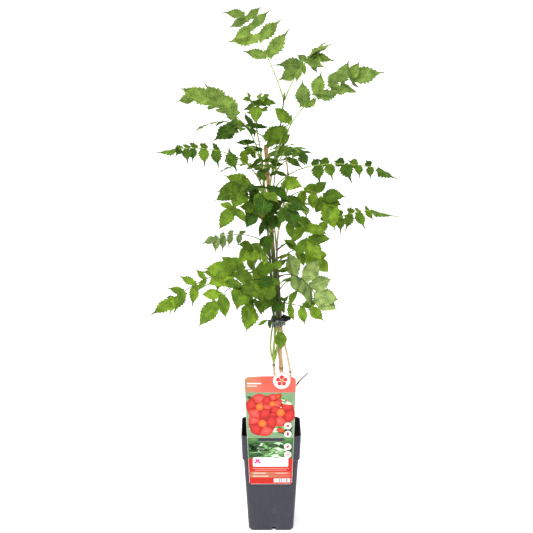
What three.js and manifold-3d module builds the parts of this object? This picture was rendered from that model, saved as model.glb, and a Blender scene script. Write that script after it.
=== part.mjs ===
// A young trumpet vine in a square nursery pot, trained up a bamboo cane.
//
// Millimetres, +Z up. The origin is the middle of the pot's underside. The pot's front, which
// carries the plant label, faces -Y. Every frond, stem, tie and holder is a mesh of its own.
import * as THREE from "three";
import { mergeVertices } from "three/addons/utils/BufferGeometryUtils.js";
import Module from "manifold-3d";

const wasm = await Module();
wasm.setup();

// ---------------------------------------------------------------- driving dimensions

const GAP = 0.35; // between two pieces that touch

// Square tapered pot with a wider collar. Half widths are measured to the outer faces.
const POT = {
  height: 191,
  rimHalf: 55,
  collarHalf: 53, // at the foot of the collar
  collarFoot: 144,
  shoulderHalf: 50.3, // just under the collar
  shoulder: 141,
  baseHalf: 41.5,
  footRound: 3, // the underside's edge is drawn in by this much
  wall: 1.6,
  floor: 2.4,
  corner: 11, // corner radius at the rim
  cornerSteps: 2,
};
const DRAIN = { width: 7, height: 8, inward: 9, offset: 5, cornerSize: 12 };
const SOIL = { top: 158, crown: 4 };

// Plant label: a plastic sheet that leans on the collar and hooks over the rim.
const LABEL = {
  thickness: 0.8,
  above: 117, // from the rim to the top edge
  below: 93.5, // from the rim to the bottom edge
  topLeft: 49,
  topRight: 45.5,
  bottomLeft: 40,
  bottomRight: 38.5,
  crownRise: 3, // arch of the top edge
  topCorner: 10,
  bottomCorner: 3,
  badge: { x: 19, y: 109.5, radius: 17 }, // round head that stands above the top edge
  slot: { half: 22.5, low: -8.5, high: -2 },
  hook: { half: 21, depth: 22 }, // the tongue that grips the rim from inside
};

// Bamboo cane.
const CANE = {
  foot: [36, 6, 52],
  top: [-10, 2, 720],
  footRadius: 4.3,
  topRadius: 3.6,
  ring: 0.45, // how far a node ring stands out
  nodes: [305, 436, 562, 668], // heights of the node rings
  sides: 8,
};

// Ties round the bundle: the lower one is a broad strap. inner is the radius inside.
const TIES = [
  { z: 396, inner: 11.2, height: 12, tail: 12 },
  { z: 615, inner: 9.7, height: 5, tail: 9 },
];
const TIE = { thickness: 1.1, sides: 12 };

// Leaflet blade, as shares of its length: [along, half width] down the right and left edges,
// with a big tooth on each side and a drawn-out tip.
const RIGHT_EDGE = [
  [0.12, 0.2],
  [0.4, 0.29],
  [0.48, 0.22],
  [0.72, 0.1],
];
const LEFT_EDGE = [
  [0.14, 0.22],
  [0.32, 0.285],
  [0.4, 0.24],
  [0.65, 0.13],
];
const RIB = 0.42; // where the rib is highest
const BLADE = { rib: 1.1, root: 0.45, arch: 0.16, fold: 0.16 };

const RACHIS = { foot: 1.4, tip: 1, sides: 3, steps: 4 };

// How a leaflet that would touch another piece is bent clear: it swings about its stalk in
// steps, and is tried again at a smaller size when no swing is clear.
const SWING_STEP = 9; // degrees
const SWINGS = [0, 1, -1, 2, -2, 3, -3, 4, -4, 5, -5, 6, -6, 7, -7];
const SIZES = [1, 0.82, 0.66];
const CLEAR = 0.45; // the room that a leaflet keeps round itself
const OWN_OVERLAP = 2; // mm3 that leaflets of one frond may share

// ---------------------------------------------------------------- solids

const V = (x, y, z) => new THREE.Vector3(x, y, z);
const radians = THREE.MathUtils.degToRad;

/** The manifold solid of a closed three.js geometry. */
function solidOf(geometry) {
  const bare = geometry.clone();
  for (const name of Object.keys(bare.attributes)) {
    if (name !== "position") bare.deleteAttribute(name);
  }
  const merged = mergeVertices(bare, 1e-4);
  return new wasm.Manifold(
    new wasm.Mesh({
      numProp: 3,
      vertProperties: new Float32Array(merged.attributes.position.array),
      triVerts: new Uint32Array(merged.index.array),
    }),
  );
}

/** The three.js geometry of a manifold solid. */
function geometryOf(solid) {
  const mesh = solid.getMesh();
  const geometry = new THREE.BufferGeometry();
  geometry.setAttribute("position", new THREE.BufferAttribute(mesh.vertProperties, 3));
  geometry.setIndex(new THREE.BufferAttribute(mesh.triVerts, 1));
  return geometry;
}

/** Rings of equal point count, joined in order and closed by a flat cap at each end. */
function loft(rings) {
  const count = rings[0].length;
  const points = rings.flat();
  const index = [];
  for (let r = 0; r + 1 < rings.length; r++) {
    for (let i = 0; i < count; i++) {
      const a = r * count + i;
      const b = r * count + ((i + 1) % count);
      index.push(a, b, b + count, a, b + count, a + count);
    }
  }
  const last = (rings.length - 1) * count;
  for (let i = 1; i + 1 < count; i++) {
    index.push(0, i + 1, i);
    index.push(last, last + i, last + i + 1);
  }
  const geometry = new THREE.BufferGeometry().setFromPoints(points);
  geometry.setIndex(index);
  return geometry;
}

/** A tube with its own radius at each point. One of its edges starts out towards corner. */
function tube(line, radii, sides, corner = V(1, 0, 0)) {
  const rings = [];
  let across = corner;
  for (let i = 0; i < line.length; i++) {
    const ahead = line[Math.min(i + 1, line.length - 1)];
    const behind = line[Math.max(i - 1, 0)];
    const along = ahead.clone().sub(behind).normalize();
    if (i === 0 && Math.abs(along.dot(corner)) > 0.95) across = V(0, 0, 1);
    across = across.clone().addScaledVector(along, -across.dot(along)).normalize();
    const other = along.clone().cross(across);
    const ring = [];
    for (let k = 0; k < sides; k++) {
      const angle = (2 * Math.PI * k) / sides;
      const point = line[i].clone();
      point.addScaledVector(across, radii[i] * Math.cos(angle));
      point.addScaledVector(other, radii[i] * Math.sin(angle));
      ring.push(point);
    }
    rings.push(ring);
  }
  return loft(rings);
}

/** A square with round corners, as a ring of points at one height, counter-clockwise. */
function roundedSquare(half, corner, z) {
  const ring = [];
  for (let q = 0; q < 4; q++) {
    for (let k = 0; k <= POT.cornerSteps; k++) {
      const angle = (Math.PI / 2) * (q + k / POT.cornerSteps);
      const cx = (q === 0 || q === 3 ? 1 : -1) * (half - corner);
      const cy = (q < 2 ? 1 : -1) * (half - corner);
      ring.push(V(cx + corner * Math.cos(angle), cy + corner * Math.sin(angle), z));
    }
  }
  return ring;
}

function box(low, high) {
  const size = high.map((value, i) => value - low[i]);
  const geometry = new THREE.BoxGeometry(...size);
  geometry.translate(...low.map((value, i) => value + size[i] / 2));
  return solidOf(geometry);
}

// ---------------------------------------------------------------- pot and soil

/** Half width of the pot's outer face at a height. */
function potHalf(z) {
  if (z >= POT.collarFoot) {
    const share = (z - POT.collarFoot) / (POT.height - POT.collarFoot);
    return THREE.MathUtils.lerp(POT.collarHalf, POT.rimHalf, share);
  }
  const share = Math.min(z / POT.shoulder, 1);
  return THREE.MathUtils.lerp(POT.baseHalf, POT.shoulderHalf, share);
}

/** Half width inside the pot, and its corner radius there. */
const innerHalf = (z) => potHalf(z) - POT.wall;
const cornerAt = (half) => (POT.corner * half) / POT.rimHalf;

function potSolid() {
  const { shoulder, collarFoot, height, wall, floor, footRound } = POT;
  const outer = [footRound, shoulder, collarFoot, height].map((z) =>
    roundedSquare(potHalf(z), cornerAt(potHalf(z)), z),
  );
  outer.unshift(roundedSquare(POT.baseHalf - footRound, cornerAt(POT.baseHalf), 0));
  const inner = [height, collarFoot, shoulder, floor + footRound].map((z) =>
    roundedSquare(innerHalf(z), cornerAt(innerHalf(z)) - wall / 2, z),
  );
  let pot = solidOf(loft([...outer, ...inner]));
  const low = POT.baseHalf - DRAIN.inward;
  const slot = box(
    [DRAIN.offset - DRAIN.width / 2, -POT.baseHalf - 5, -1],
    [DRAIN.offset + DRAIN.width / 2, -low, DRAIN.height],
  );
  const notch = box([-DRAIN.cornerSize / 2, -12, -1], [DRAIN.cornerSize / 2, 12, 4]);
  for (let q = 0; q < 4; q++) {
    pot = pot.subtract(slot.rotate([0, 0, 90 * q]));
    const corner = notch.rotate([0, 0, 45]);
    const reach = POT.baseHalf - 1;
    pot = pot.subtract(corner.translate([reach, reach, 0]).rotate([0, 0, 90 * q]));
  }
  return pot;
}

/** The root ball: it fills the pot to below the rim, with a plain hole for each stem. */
function soilSolid(stakes) {
  const ring = (z, inset) => {
    const half = innerHalf(z) - GAP - inset;
    return roundedSquare(half, cornerAt(half) - POT.wall / 2, z);
  };
  const { top, crown } = SOIL;
  const foot = POT.floor + POT.footRound + GAP;
  const rings = [foot, POT.shoulder, POT.collarFoot, top].map((z) => ring(z, 0));
  for (const [share, rise] of [[0.3, 0.55], [0.62, 0.9]]) {
    const z = top + crown * rise;
    rings.push(ring(top, share * innerHalf(top)).map((p) => V(p.x, p.y, z)));
  }
  let soil = solidOf(loft(rings));
  for (const stake of stakes) soil = soil.subtract(stake);
  return soil;
}

// ---------------------------------------------------------------- label

const LEAN = Math.atan2(POT.rimHalf - POT.collarHalf, POT.height - POT.collarFoot);

function labelShape() {
  const { topLeft, topRight, bottomLeft, bottomRight, above, below } = LABEL;
  const { topCorner, bottomCorner, crownRise } = LABEL;
  const shoulder = above - topCorner;
  const share = (shoulder + below) / (above + below);
  const left = THREE.MathUtils.lerp(bottomLeft, topLeft, share);
  const right = THREE.MathUtils.lerp(bottomRight, topRight, share);
  const shape = new THREE.Shape();
  shape.moveTo(-bottomLeft + bottomCorner, -below);
  shape.lineTo(bottomRight - bottomCorner, -below);
  shape.lineTo(bottomRight, -below + bottomCorner);
  shape.lineTo(right, shoulder);
  shape.quadraticCurveTo(topRight, above - 1, topRight - topCorner, above);
  shape.quadraticCurveTo(0, above + crownRise, -topLeft + topCorner, above);
  shape.quadraticCurveTo(-topLeft, above - 1, -left, shoulder);
  shape.lineTo(-bottomLeft, -below + bottomCorner);
  return shape;
}

/** The label, drawn in its own plane (y up the collar, z out of it) and hung on the rim. */
function labelSolid() {
  const { thickness, badge, slot, hook } = LABEL;
  const sheet = (shape, curveSegments) =>
    solidOf(
      new THREE.ExtrudeGeometry(shape, { depth: thickness, bevelEnabled: false, curveSegments }),
    );
  const disc = new THREE.Shape();
  disc.absarc(badge.x, badge.y, badge.radius, 0, 2 * Math.PI, false);
  const back = -POT.wall - 2 * GAP;
  const bridge = box([-hook.half, GAP, back - thickness], [hook.half, GAP + thickness, thickness]);
  const tongue = box([-hook.half, -hook.depth, back - thickness], [hook.half, GAP + thickness, back]);
  let label = sheet(labelShape(), 4).add(sheet(disc, 16));
  label = label.subtract(box([-slot.half, slot.low, -1], [slot.half, slot.high, 2]));
  label = label.add(bridge).add(tongue);
  return label
    .translate([0, 0, GAP])
    .rotate([90 + THREE.MathUtils.radToDeg(LEAN), 0, 0])
    .translate([0, -POT.rimHalf, POT.height]);
}

// ---------------------------------------------------------------- cane, stems and ties

/** The cane's axis at a height. */
function caneAt(z) {
  const share = (z - CANE.foot[2]) / (CANE.top[2] - CANE.foot[2]);
  return V(
    THREE.MathUtils.lerp(CANE.foot[0], CANE.top[0], share),
    THREE.MathUtils.lerp(CANE.foot[1], CANE.top[1], share),
    z,
  );
}

/** A point of the bundle: so far from the cane's axis, at an angle in degrees from +X. */
function around(z, reach, angle) {
  const centre = caneAt(z);
  return [
    centre.x + reach * Math.cos(radians(angle)),
    centre.y + reach * Math.sin(radians(angle)),
    z,
  ];
}

// Each stem is a list of points up its own line, with a radius at its foot and its tip.
// The green shoots break from the top of the woody stump and run up round the cane.
const BREAK = [4.6, -2, 316.9];
const STEMS = {
  woody_stump: {
    knots: [[9, -1, 118], [8, -2, 165], [7, -1, 235], [6.6, -2, 285], [4.6, -2, 316]],
    foot: 3,
    tip: 2.3,
  },
  pruned_stem: {
    knots: [
      [37, -8, 112], [37, -8, 165], [36.5, -7, 288], [30, -7, 330], [23.6, -6.2, 360],
      around(396, 7.9, 312), around(505, 8.2, 312), [13, -8, 566], [22, -6, 615],
      [31, -4, 650], [29, -3, 676], [26, -3, 702],
    ],
    foot: 2.3,
    tip: 1.6,
  },
  shoot_left: {
    knots: [
      BREAK, [0, -3, 335], [-1, -3, 352], [0.5, -1.5, 372], around(396, 8, 175),
      around(505, 7.6, 172), around(615, 7.4, 176), [-15, 3, 655], [-20, 4, 712],
    ],
    foot: 1.7,
    tip: 1.2,
  },
  shoot_front_left: {
    knots: [
      BREAK, [5.5, -6, 335], [6, -8, 354], around(396, 8, 218),
      around(505, 7.6, 222), around(615, 7.4, 219), [-13, -7, 660], [-18, -5, 705],
      [-26, -3, 752], [-25, 0, 790],
    ],
    foot: 1.7,
    tip: 1.1,
  },
  shoot_front_right: {
    knots: [
      BREAK, [10, -6, 335], [11.5, -9, 352], around(396, 8, 264),
      around(505, 7.6, 267), around(615, 7.4, 265), [-1, -9, 655], [5, -6, 694],
      [13, -3, 736], [18.5, -1, 770], [23, 0, 813],
    ],
    foot: 1.8,
    tip: 1.3,
  },
  shoot_right: {
    knots: [
      BREAK, [9, 7, 336], [16, 13.5, 364], around(396, 8, 38),
      around(505, 7.6, 30), around(615, 7.4, 32), [6, 7, 660], [13, 6, 706], [17, 4, 722],
    ],
    foot: 1.7,
    tip: 1.2,
  },
  shoot_back: {
    knots: [
      BREAK, [4, 4, 338], [7, 11, 364], around(396, 8, 108),
      around(505, 7.6, 103), around(615, 7.4, 106), [-7, 14, 700], [-5, 18, 742],
    ],
    foot: 1.7,
    tip: 1.1,
  },
  dead_twig: {
    knots: [[33, -22, 150], [34, -22, 196], [38, -22, 256], [49, -22, 283], [68, -24, 304]],
    foot: 1.4,
    tip: 0.7,
  },
};
const STEM = { sides: 4, rise: 28 }; // rise: the height between two rings of a stem

/** The centre of a stem at a height: a smooth curve through its points. */
function stemAt(stem, z) {
  const k = stem.knots;
  let i = 0;
  while (i + 2 < k.length && z > k[i + 1][2]) i++;
  const slope = (j, axis) => {
    const a = k[Math.max(j - 1, 0)];
    const b = k[Math.min(j + 1, k.length - 1)];
    return (b[axis] - a[axis]) / (b[2] - a[2]);
  };
  const span = k[i + 1][2] - k[i][2];
  const s = (z - k[i][2]) / span;
  const smooth = [0, 1].map(
    (axis) =>
      (2 * s ** 3 - 3 * s ** 2 + 1) * k[i][axis] +
      (s ** 3 - 2 * s ** 2 + s) * span * slope(i, axis) +
      (3 * s ** 2 - 2 * s ** 3) * k[i + 1][axis] +
      (s ** 3 - s ** 2) * span * slope(i + 1, axis),
  );
  return V(smooth[0], smooth[1], z);
}

function stemRadius(stem, z) {
  const low = stem.knots[0][2];
  const high = stem.knots[stem.knots.length - 1][2];
  return THREE.MathUtils.lerp(stem.foot, stem.tip, (z - low) / (high - low));
}

/** The heights of a stem's rings. */
function ringHeights(stem) {
  const low = stem.knots[0][2];
  const high = stem.knots[stem.knots.length - 1][2];
  const count = Math.ceil((high - low) / STEM.rise);
  return Array.from({ length: count + 1 }, (_, i) => low + ((high - low) * i) / count);
}

/** The centre of a stem's solid at a height, on the chord between two rings. */
function chordAt(stem, z) {
  const heights = ringHeights(stem);
  const next = heights.findIndex((height) => height > z);
  const [low, high] = [heights[next - 1], heights[next]];
  return stemAt(stem, low).lerp(stemAt(stem, high), (z - low) / (high - low));
}

function stemSolid(stem) {
  const heights = ringHeights(stem);
  const line = heights.map((z) => stemAt(stem, z));
  return solidOf(tube(line, heights.map((z) => stemRadius(stem, z)), STEM.sides));
}

function caneSolid() {
  const { foot, top, footRadius, topRadius, ring, nodes, sides } = CANE;
  const steps = [[foot[2], 0]];
  for (const z of nodes) steps.push([z - 4, 0], [z, ring], [z + 4, 0]);
  steps.push([top[2], 0]);
  const line = steps.map(([z]) => caneAt(z));
  const radii = steps.map(([z, extra]) => {
    const share = (z - foot[2]) / (top[2] - foot[2]);
    return THREE.MathUtils.lerp(footRadius, topRadius, share) + extra;
  });
  return solidOf(tube(line, radii, sides));
}

/** A strap round the cane and the stems at a height, with two loose tails. */
function tieSolid({ z, inner, height, tail }) {
  const centre = caneAt(z);
  const half = height / 2;
  const outer = inner + TIE.thickness;
  const profile = [[inner, -half], [outer, -half], [outer, half], [inner, half], [inner, -half]];
  const ring = new THREE.LatheGeometry(profile.map(([r, y]) => new THREE.Vector2(r, y)), TIE.sides);
  ring.rotateX(Math.PI / 2);
  const strip = box([-1, -0.5, -half * 0.7], [tail, 0.6, half * 0.7]);
  let tie = solidOf(ring);
  for (const [pitch, turn] of [[-28, 14], [14, -10]]) {
    tie = tie.add(strip.rotate([0, pitch, turn]).translate([inner + 0.7, 0, 0]));
  }
  return tie.rotate([0, 0, -10]).translate([centre.x, centre.y, z]);
}

// ---------------------------------------------------------------- fronds

/** Leaflet pairs at even steps up a rachis, the longest ones lowest. */
function evenly(count, bare, length) {
  return Array.from({ length: count }, (_, i) => {
    const step = count > 1 ? i / (count - 1) : 0;
    const size = length * (1 - 0.3 * step);
    return [bare + (0.93 - bare) * step, 72 - 14 * step, size, 72 - 14 * step, size];
  });
}

// Each frond leaves its stem at a height, passes through mid and ends at tip, where its last
// leaflet starts. face is the way its upper side looks. pairs lists its leaflets: the share of
// the rachis that they sit at, then the angle from the rachis and the length of the left and of
// the right one, as seen from its face with the tip up. end is the same for the last leaflet,
// which bends to the left and may have a roll of its own. pitch and roll turn the left and the
// right row out of the frond's plane, hang lets the leaflets droop, and broad widens them. A
// frond is listed before the ones that give way to it.
const FRONDS = [
  { name: "top_left", stem: "shoot_front_right", z: 806, mid: [-8, -10, 878], tip: [-47, -15, 949],
    face: [0.15, -1, 0.2], end: [50, 42],
    pairs: [[0.5, 52, 50, 70, 67], [0.71, 66, 61, 84, 61], [0.85, 90, 46, 78, 47], [0.95, 85, 42, 84, 40]] },
  { name: "top_right", stem: "shoot_front_right", z: 800, mid: [46, 20, 845], tip: [71, 50, 871],
    face: [-0.2, -0.9, 0.5], end: [-56, 50], roll: [34, 20],
    pairs: [[0.61, 115, 66, 165, 36], [0.73, 128, 57, 145, 28], [0.85, 75, 34, 90, 44],
      [0.94, -12, 58, 62, 44], [0.99, -38, 56, 100, 34]] },
  { name: "upper_right", stem: "shoot_right", z: 704, mid: [58, -8, 789], tip: [142, -25, 840],
    face: [-0.2, -1, 0.3], end: [-8, 62], roll: [0, 62], broad: 1.12,
    pairs: [[0.5, 60, 54, 12, 34], [0.65, 44, 52, 30, 52], [0.8, 50, 42, 40, 44], [0.9, 45, 48, 62, 42],
      [0.98, 38, 42, 75, 26]] },
  { name: "upper_left", stem: "shoot_left", z: 698, mid: [-59, 14, 766], tip: [-135, 34, 801],
    face: [0.2, -1, 0.35], end: [30, 42], roll: [60, 0], broad: 1.05,
    pairs: [[0.53, 30, 30, 12, 66], [0.68, 40, 32, 12, 62], [0.81, 50, 30, 6, 66], [0.92, 18, 34, 8, 52]] },
  { name: "back_left_small", stem: "shoot_back", z: 728, mid: [-72, 62, 752], tip: [-126, 90, 741],
    face: [0, -0.1, 1], end: [0, 30], hang: 0.1, pairs: evenly(4, 0.45, 30) },
  { name: "front_left", stem: "shoot_front_left", z: 744, mid: [-46, -40, 759], tip: [-68, -70, 757],
    face: [0.1, -1, 0.6], end: [5, 52], broad: 1.15,
    pairs: [[0.3, 120, 26, 110, 40], [0.5, 62, 38, 30, 38], [0.78, 34, 42, 20, 40], [0.95, 15, 50, 25, 34]] },
  { name: "young_left", stem: "shoot_front_left", z: 776, mid: [-33, -10, 796], tip: [-39, -17, 803],
    face: [0.2, -0.8, 0.6], end: [0, 20], hang: 0.3, pairs: evenly(2, 0.4, 24), broad: 1.15 },
  { name: "young_right", stem: "shoot_front_left", z: 783, mid: [-21, -5, 803], tip: [-14, -8, 804],
    face: [-0.1, -0.6, 0.7], end: [-10, 26], hang: 0.35, pairs: evenly(2, 0.5, 24), broad: 1.15 },
  { name: "young_front", stem: "shoot_front_left", z: 766, mid: [-26, -24, 789], tip: [-27, -36, 791],
    face: [0, -1, 0.4], end: [10, 33], hang: 0.9, pairs: evenly(1, 0.7, 26), broad: 1.35 },
  { name: "mid_right", stem: "shoot_front_right", z: 692, mid: [20, -28, 741], tip: [36, -42, 768],
    face: [0.1, -1, 0.3], end: [104, 48], broad: 1.1, pairs: [[0.7, 140, 42, 188, 48]] },
  { name: "long_left", stem: "shoot_left", z: 640, mid: [-66, -32, 705], tip: [-165, -50, 720],
    face: [0.05, -1, 0.2], end: [14, 48, 70], pitch: [12, -55], broad: 1.2,
    pairs: [[0.56, 130, 42, 135, 32], [0.7, 120, 36, 120, 34], [0.8, 98, 36, 115, 30],
      [0.88, 88, 28, 110, 28], [0.93, 92, 30, 100, 26], [0.98, 62, 26, 95, 22]] },
  { name: "long_right", stem: "shoot_right", z: 640, mid: [73, 14, 680], tip: [192, 20, 675],
    face: [0, -1, 0.2], end: [-30, 52, -70], pitch: [-45, 18], broad: 1.2,
    pairs: [[0.55, 110, 32, 88, 40], [0.65, 150, 34, 82, 36], [0.77, 160, 36, 64, 42],
      [0.87, 160, 32, 78, 28], [0.95, 120, 26, 84, 27]] },
  { name: "front_right_high", stem: "shoot_front_right", z: 676, mid: [30, -48, 718], tip: [50, -84, 716],
    face: [0, -0.25, 1], end: [0, 34], hang: 0.15, pairs: evenly(3, 0.4, 40) },
  { name: "small_right", stem: "shoot_right", z: 672, mid: [32, 28, 690], tip: [54, 46, 682],
    face: [0, -0.4, 1], end: [0, 30], hang: 0.2, pairs: evenly(2, 0.45, 34) },
  { name: "thin_left", stem: "shoot_back", z: 668, mid: [-44, 38, 680], tip: [-80, 58, 668],
    face: [0, 0, 1], end: [0, 30], pairs: evenly(2, 0.5, 28) },
  { name: "thin_front", stem: "shoot_front_left", z: 664, mid: [-12, -40, 690], tip: [-16, -68, 684],
    face: [0, -0.3, 1], end: [0, 34], hang: 0.1, pairs: evenly(3, 0.4, 34) },
  { name: "inner_left", stem: "shoot_front_left", z: 690, mid: [-29, -22, 712], tip: [-43, -38, 720],
    face: [0.1, -1, 0.45], end: [150, 36], roll: [0, 50], pairs: [[0.8, 60, 30, 0, 48]] },
  { name: "big_left", stem: "shoot_left", z: 622, mid: [-38, -26, 646], tip: [-62, -48, 648],
    face: [0.1, -1, 0.45], end: [6, 52],
    pairs: [[0.43, 84, 60, 8, 62], [0.78, 32, 72, 12, 54]] },
  { name: "big_left_low", stem: "shoot_front_left", z: 602, mid: [-45, -48, 627], tip: [-69, -78, 617],
    face: [0.1, -1, 0.3], end: [6, 50], pairs: [[0.5, 86, 42, 48, 36], [0.95, 72, 40, 80, 28]] },
  { name: "centre_high", stem: "shoot_front_left", z: 638, mid: [-10, -50, 652], tip: [-12, -76, 642],
    face: [0, -0.9, 0.6], end: [0, 50], hang: 0.25, pairs: evenly(2, 0.5, 52), broad: 1.3 },
  { name: "centre_left", stem: "shoot_front_left", z: 590, mid: [-18, -44, 614], tip: [-30, -66, 612],
    face: [0, -0.9, 0.5], end: [10, 40], hang: 0.2, pairs: evenly(2, 0.5, 50), broad: 1.25 },
  { name: "centre_right", stem: "shoot_front_right", z: 610, mid: [17, -50, 628], tip: [30, -80, 618],
    face: [0.1, -0.9, 0.5], end: [0, 46], hang: 0.2, pairs: evenly(2, 0.5, 50), broad: 1.25 },
  { name: "centre_front", stem: "shoot_front_right", z: 588, mid: [4, -40, 604], tip: [4, -58, 601],
    face: [0, -0.9, 0.4], end: [0, 32], hang: 0.35, pairs: evenly(2, 0.55, 42), broad: 1.25 },
  { name: "right_bright", stem: "shoot_front_right", z: 636, mid: [18, -28, 650], tip: [27, -42, 656],
    face: [-0.1, -1, 0.6], end: [-4, 50], pairs: [[0.5, 20, 42, 60, 40]] },
  { name: "right_mid", stem: "shoot_right", z: 600, mid: [57, 6, 636], tip: [100, -12, 619],
    face: [0, -1, 0.4], end: [-32, 58], broad: 1.15,
    pairs: [[0.52, 25, 36, 92, 36], [0.72, 45, 34, 86, 36], [0.9, 40, 48, 80, 36], [0.97, 18, 36, 100, 30]] },
  { name: "right_far", stem: "shoot_right", z: 528, mid: [94, 18, 575], tip: [182, 28, 597],
    face: [0, -1, 0.3], end: [-32, 62, -68], pitch: [-50, 8],
    pairs: [[0.53, 90, 32, 140, 36], [0.68, 80, 32, 110, 38], [0.79, 70, 32, 120, 38], [0.86, 60, 30, 78, 40],
      [0.95, 50, 28, 66, 28]] },
  { name: "right_droop", stem: "shoot_front_right", z: 580, mid: [45, -50, 592], tip: [66, -76, 562],
    face: [0.1, -1, 0.4], end: [10, 46],
    pairs: [[0.38, 0, 52, 80, 40], [0.73, 32, 46, 85, 41], [0.97, 70, 44, 58, 43]] },
  { name: "right_low_back", stem: "shoot_right", z: 504, mid: [50, 36, 522], tip: [84, 52, 500],
    face: [0.1, -1, 0.4], end: [-4, 44], pairs: [[0.45, 120, 34, 90, 38], [0.72, 50, 40, 70, 38],
      [0.93, 40, 38, 60, 34]] },
  { name: "right_turned", stem: "shoot_right", z: 478, mid: [50, -18, 482], tip: [81, -34, 451],
    face: [-0.1, 1, -0.2], end: [-20, 50], roll: [55, 0], broad: 1.22,
    pairs: [[0.39, 60, 40, 122, 48], [0.63, 42, 42, 92, 52], [0.8, 40, 42, 72, 50], [0.95, 20, 34, 36, 52]] },
  { name: "right_lowest", stem: "shoot_right", z: 430, mid: [36, -18, 432], tip: [72, -40, 432],
    face: [0, -1, 0.3], end: [-36, 42], broad: 1.1,
    pairs: [[0.24, 100, 20, 70, 26], [0.47, 70, 36, 66, 40], [0.82, 28, 34, 80, 40]] },
  { name: "low_left_long", stem: "shoot_left", z: 476, mid: [-89, -11, 487], tip: [-177, -26, 442],
    face: [0.1, -1, 0.3], end: [0, 55],
    pairs: [[0.52, 60, 42, 30, 40], [0.67, 35, 32, 68, 30], [0.77, 46, 48, 60, 38], [0.89, 30, 49, 46, 36],
      [0.98, 34, 36, 40, 24]] },
  { name: "left_wide", stem: "shoot_left", z: 494, mid: [-38, -16, 496], tip: [-72, -34, 498],
    face: [0.1, -1, 0.4], end: [-10, 54], broad: 1.15,
    pairs: [[0.4, 114, 50, 60, 26], [0.66, 96, 42, 42, 44], [0.89, 20, 62, 44, 44]] },
  { name: "front_low", stem: "shoot_front_right", z: 513, mid: [4, -40, 505], tip: [1, -48, 474],
    face: [0, -1, 0.1], end: [-14, 34], broad: 1.45,
    pairs: [[0.5, 125, 24, 80, 40], [0.85, 60, 20, 62, 30]] },
  { name: "low_left_short", stem: "shoot_left", z: 452, mid: [-61, -38, 471], tip: [-97, -62, 447],
    face: [0.1, -1, 0.3], end: [0, 58], pairs: [[0.53, 74, 48, 50, 42], [0.84, 46, 48, 55, 40]] },
  { name: "low_left_front", stem: "shoot_front_left", z: 474, mid: [-38, -50, 484], tip: [-52, -80, 478],
    face: [0.1, -1, 0.45], end: [10, 62], broad: 1.15,
    pairs: [[0.5, 95, 50, 30, 50], [0.92, 60, 50, 60, 44]] },
  { name: "centre_low", stem: "shoot_front_left", z: 440, mid: [-24, -42, 450], tip: [-41, -66, 445],
    face: [0.1, -1, 0.3], end: [44, 57], broad: 1.3,
    pairs: [[0.42, 100, 34, 60, 30], [0.7, 84, 36, 12, 48]] },
  { name: "centre_up", stem: "shoot_front_left", z: 514, mid: [-11, -42, 533], tip: [-20, -58, 537],
    face: [0, -1, 0.5], end: [12, 34], pairs: [[0.78, 60, 36, 40, 34]] },
  { name: "centre_mid", stem: "shoot_front_left", z: 545, mid: [-9, -32, 561], tip: [-10, -43, 558],
    face: [0, -1, 0.5], end: [10, 34], hang: 0.9, pairs: [[0.75, 75, 27, 60, 25]] },
  { name: "left_mid", stem: "shoot_left", z: 522, mid: [-26, -18, 536], tip: [-42, -34, 540],
    face: [0, -1, 0.5], end: [40, 46], pairs: [[0.76, 88, 36, 10, 38]] },
  { name: "left_grey", stem: "shoot_left", z: 538, mid: [-50, 18, 553], tip: [-103, 30, 543],
    face: [0, -0.8, 0.5], end: [8, 34], pitch: [-20, -40],
    pairs: [[0.56, 70, 28, 110, 26], [0.72, 70, 28, 60, 26], [0.85, 62, 34, 50, 26],
      [0.95, 62, 36, 20, 24]] },
  { name: "basal_leaf", stem: "shoot_front_right", z: 378, mid: [13, -16, 382], tip: [15, -20, 379],
    face: [0.1, -1, 0.3], end: [0, 36], hang: 1.2, pairs: [] },
  { name: "back_high", stem: "shoot_back", z: 668, mid: [13, 62, 700], tip: [26, 104, 702],
    face: [0, 0.5, 1], end: [0, 36], hang: 0.2, pairs: evenly(3, 0.4, 42) },
  { name: "back_mid", stem: "shoot_back", z: 606, mid: [-24, 58, 632], tip: [-44, 100, 626],
    face: [0, 0.5, 0.9], end: [0, 40], hang: 0.3, pairs: evenly(3, 0.42, 46) },
  { name: "back_right", stem: "shoot_back", z: 574, mid: [34, 62, 602], tip: [58, 104, 592],
    face: [0.2, 0.5, 0.9], end: [0, 40], hang: 0.3, pairs: evenly(3, 0.42, 46) },
  { name: "back_low", stem: "shoot_back", z: 494, mid: [-20, 60, 518], tip: [-34, 102, 502],
    face: [0, 0.6, 0.8], end: [0, 42], hang: 0.3, pairs: evenly(3, 0.42, 48) },
  { name: "back_low_right", stem: "shoot_back", z: 440, mid: [36, 56, 462], tip: [60, 92, 448],
    face: [0.3, 0.6, 0.8], end: [0, 40], hang: 0.3, pairs: evenly(3, 0.4, 46) },
];

/** A repeatable number from 0 to 1 for a frond and one of its leaflets. */
function chance(frond, leaf, draw) {
  const wave = Math.sin(frond * 12.9898 + leaf * 78.233 + draw * 37.719) * 43758.5453;
  return wave - Math.floor(wave);
}

/** The rachis, as straight chords: it leaves the stem's surface and passes through mid to tip. */
function rachisOf(frond) {
  const stem = STEMS[frond.stem];
  const centre = chordAt(stem, frond.z);
  const mid = V(...frond.mid);
  const tip = V(...frond.tip);
  const out = V(mid.x - centre.x, mid.y - centre.y, 0).normalize();
  const rise = mid.clone().sub(centre).normalize().z;
  const reach = stemRadius(stem, frond.z) + GAP + 0.55 * RACHIS.foot * Math.max(rise, 0);
  const base = centre.addScaledVector(out, reach);
  const control = mid.clone().multiplyScalar(2).addScaledVector(base, -0.5).addScaledVector(tip, -0.5);
  return new THREE.QuadraticBezierCurve3(base, control, tip).getPoints(RACHIS.steps);
}

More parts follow.
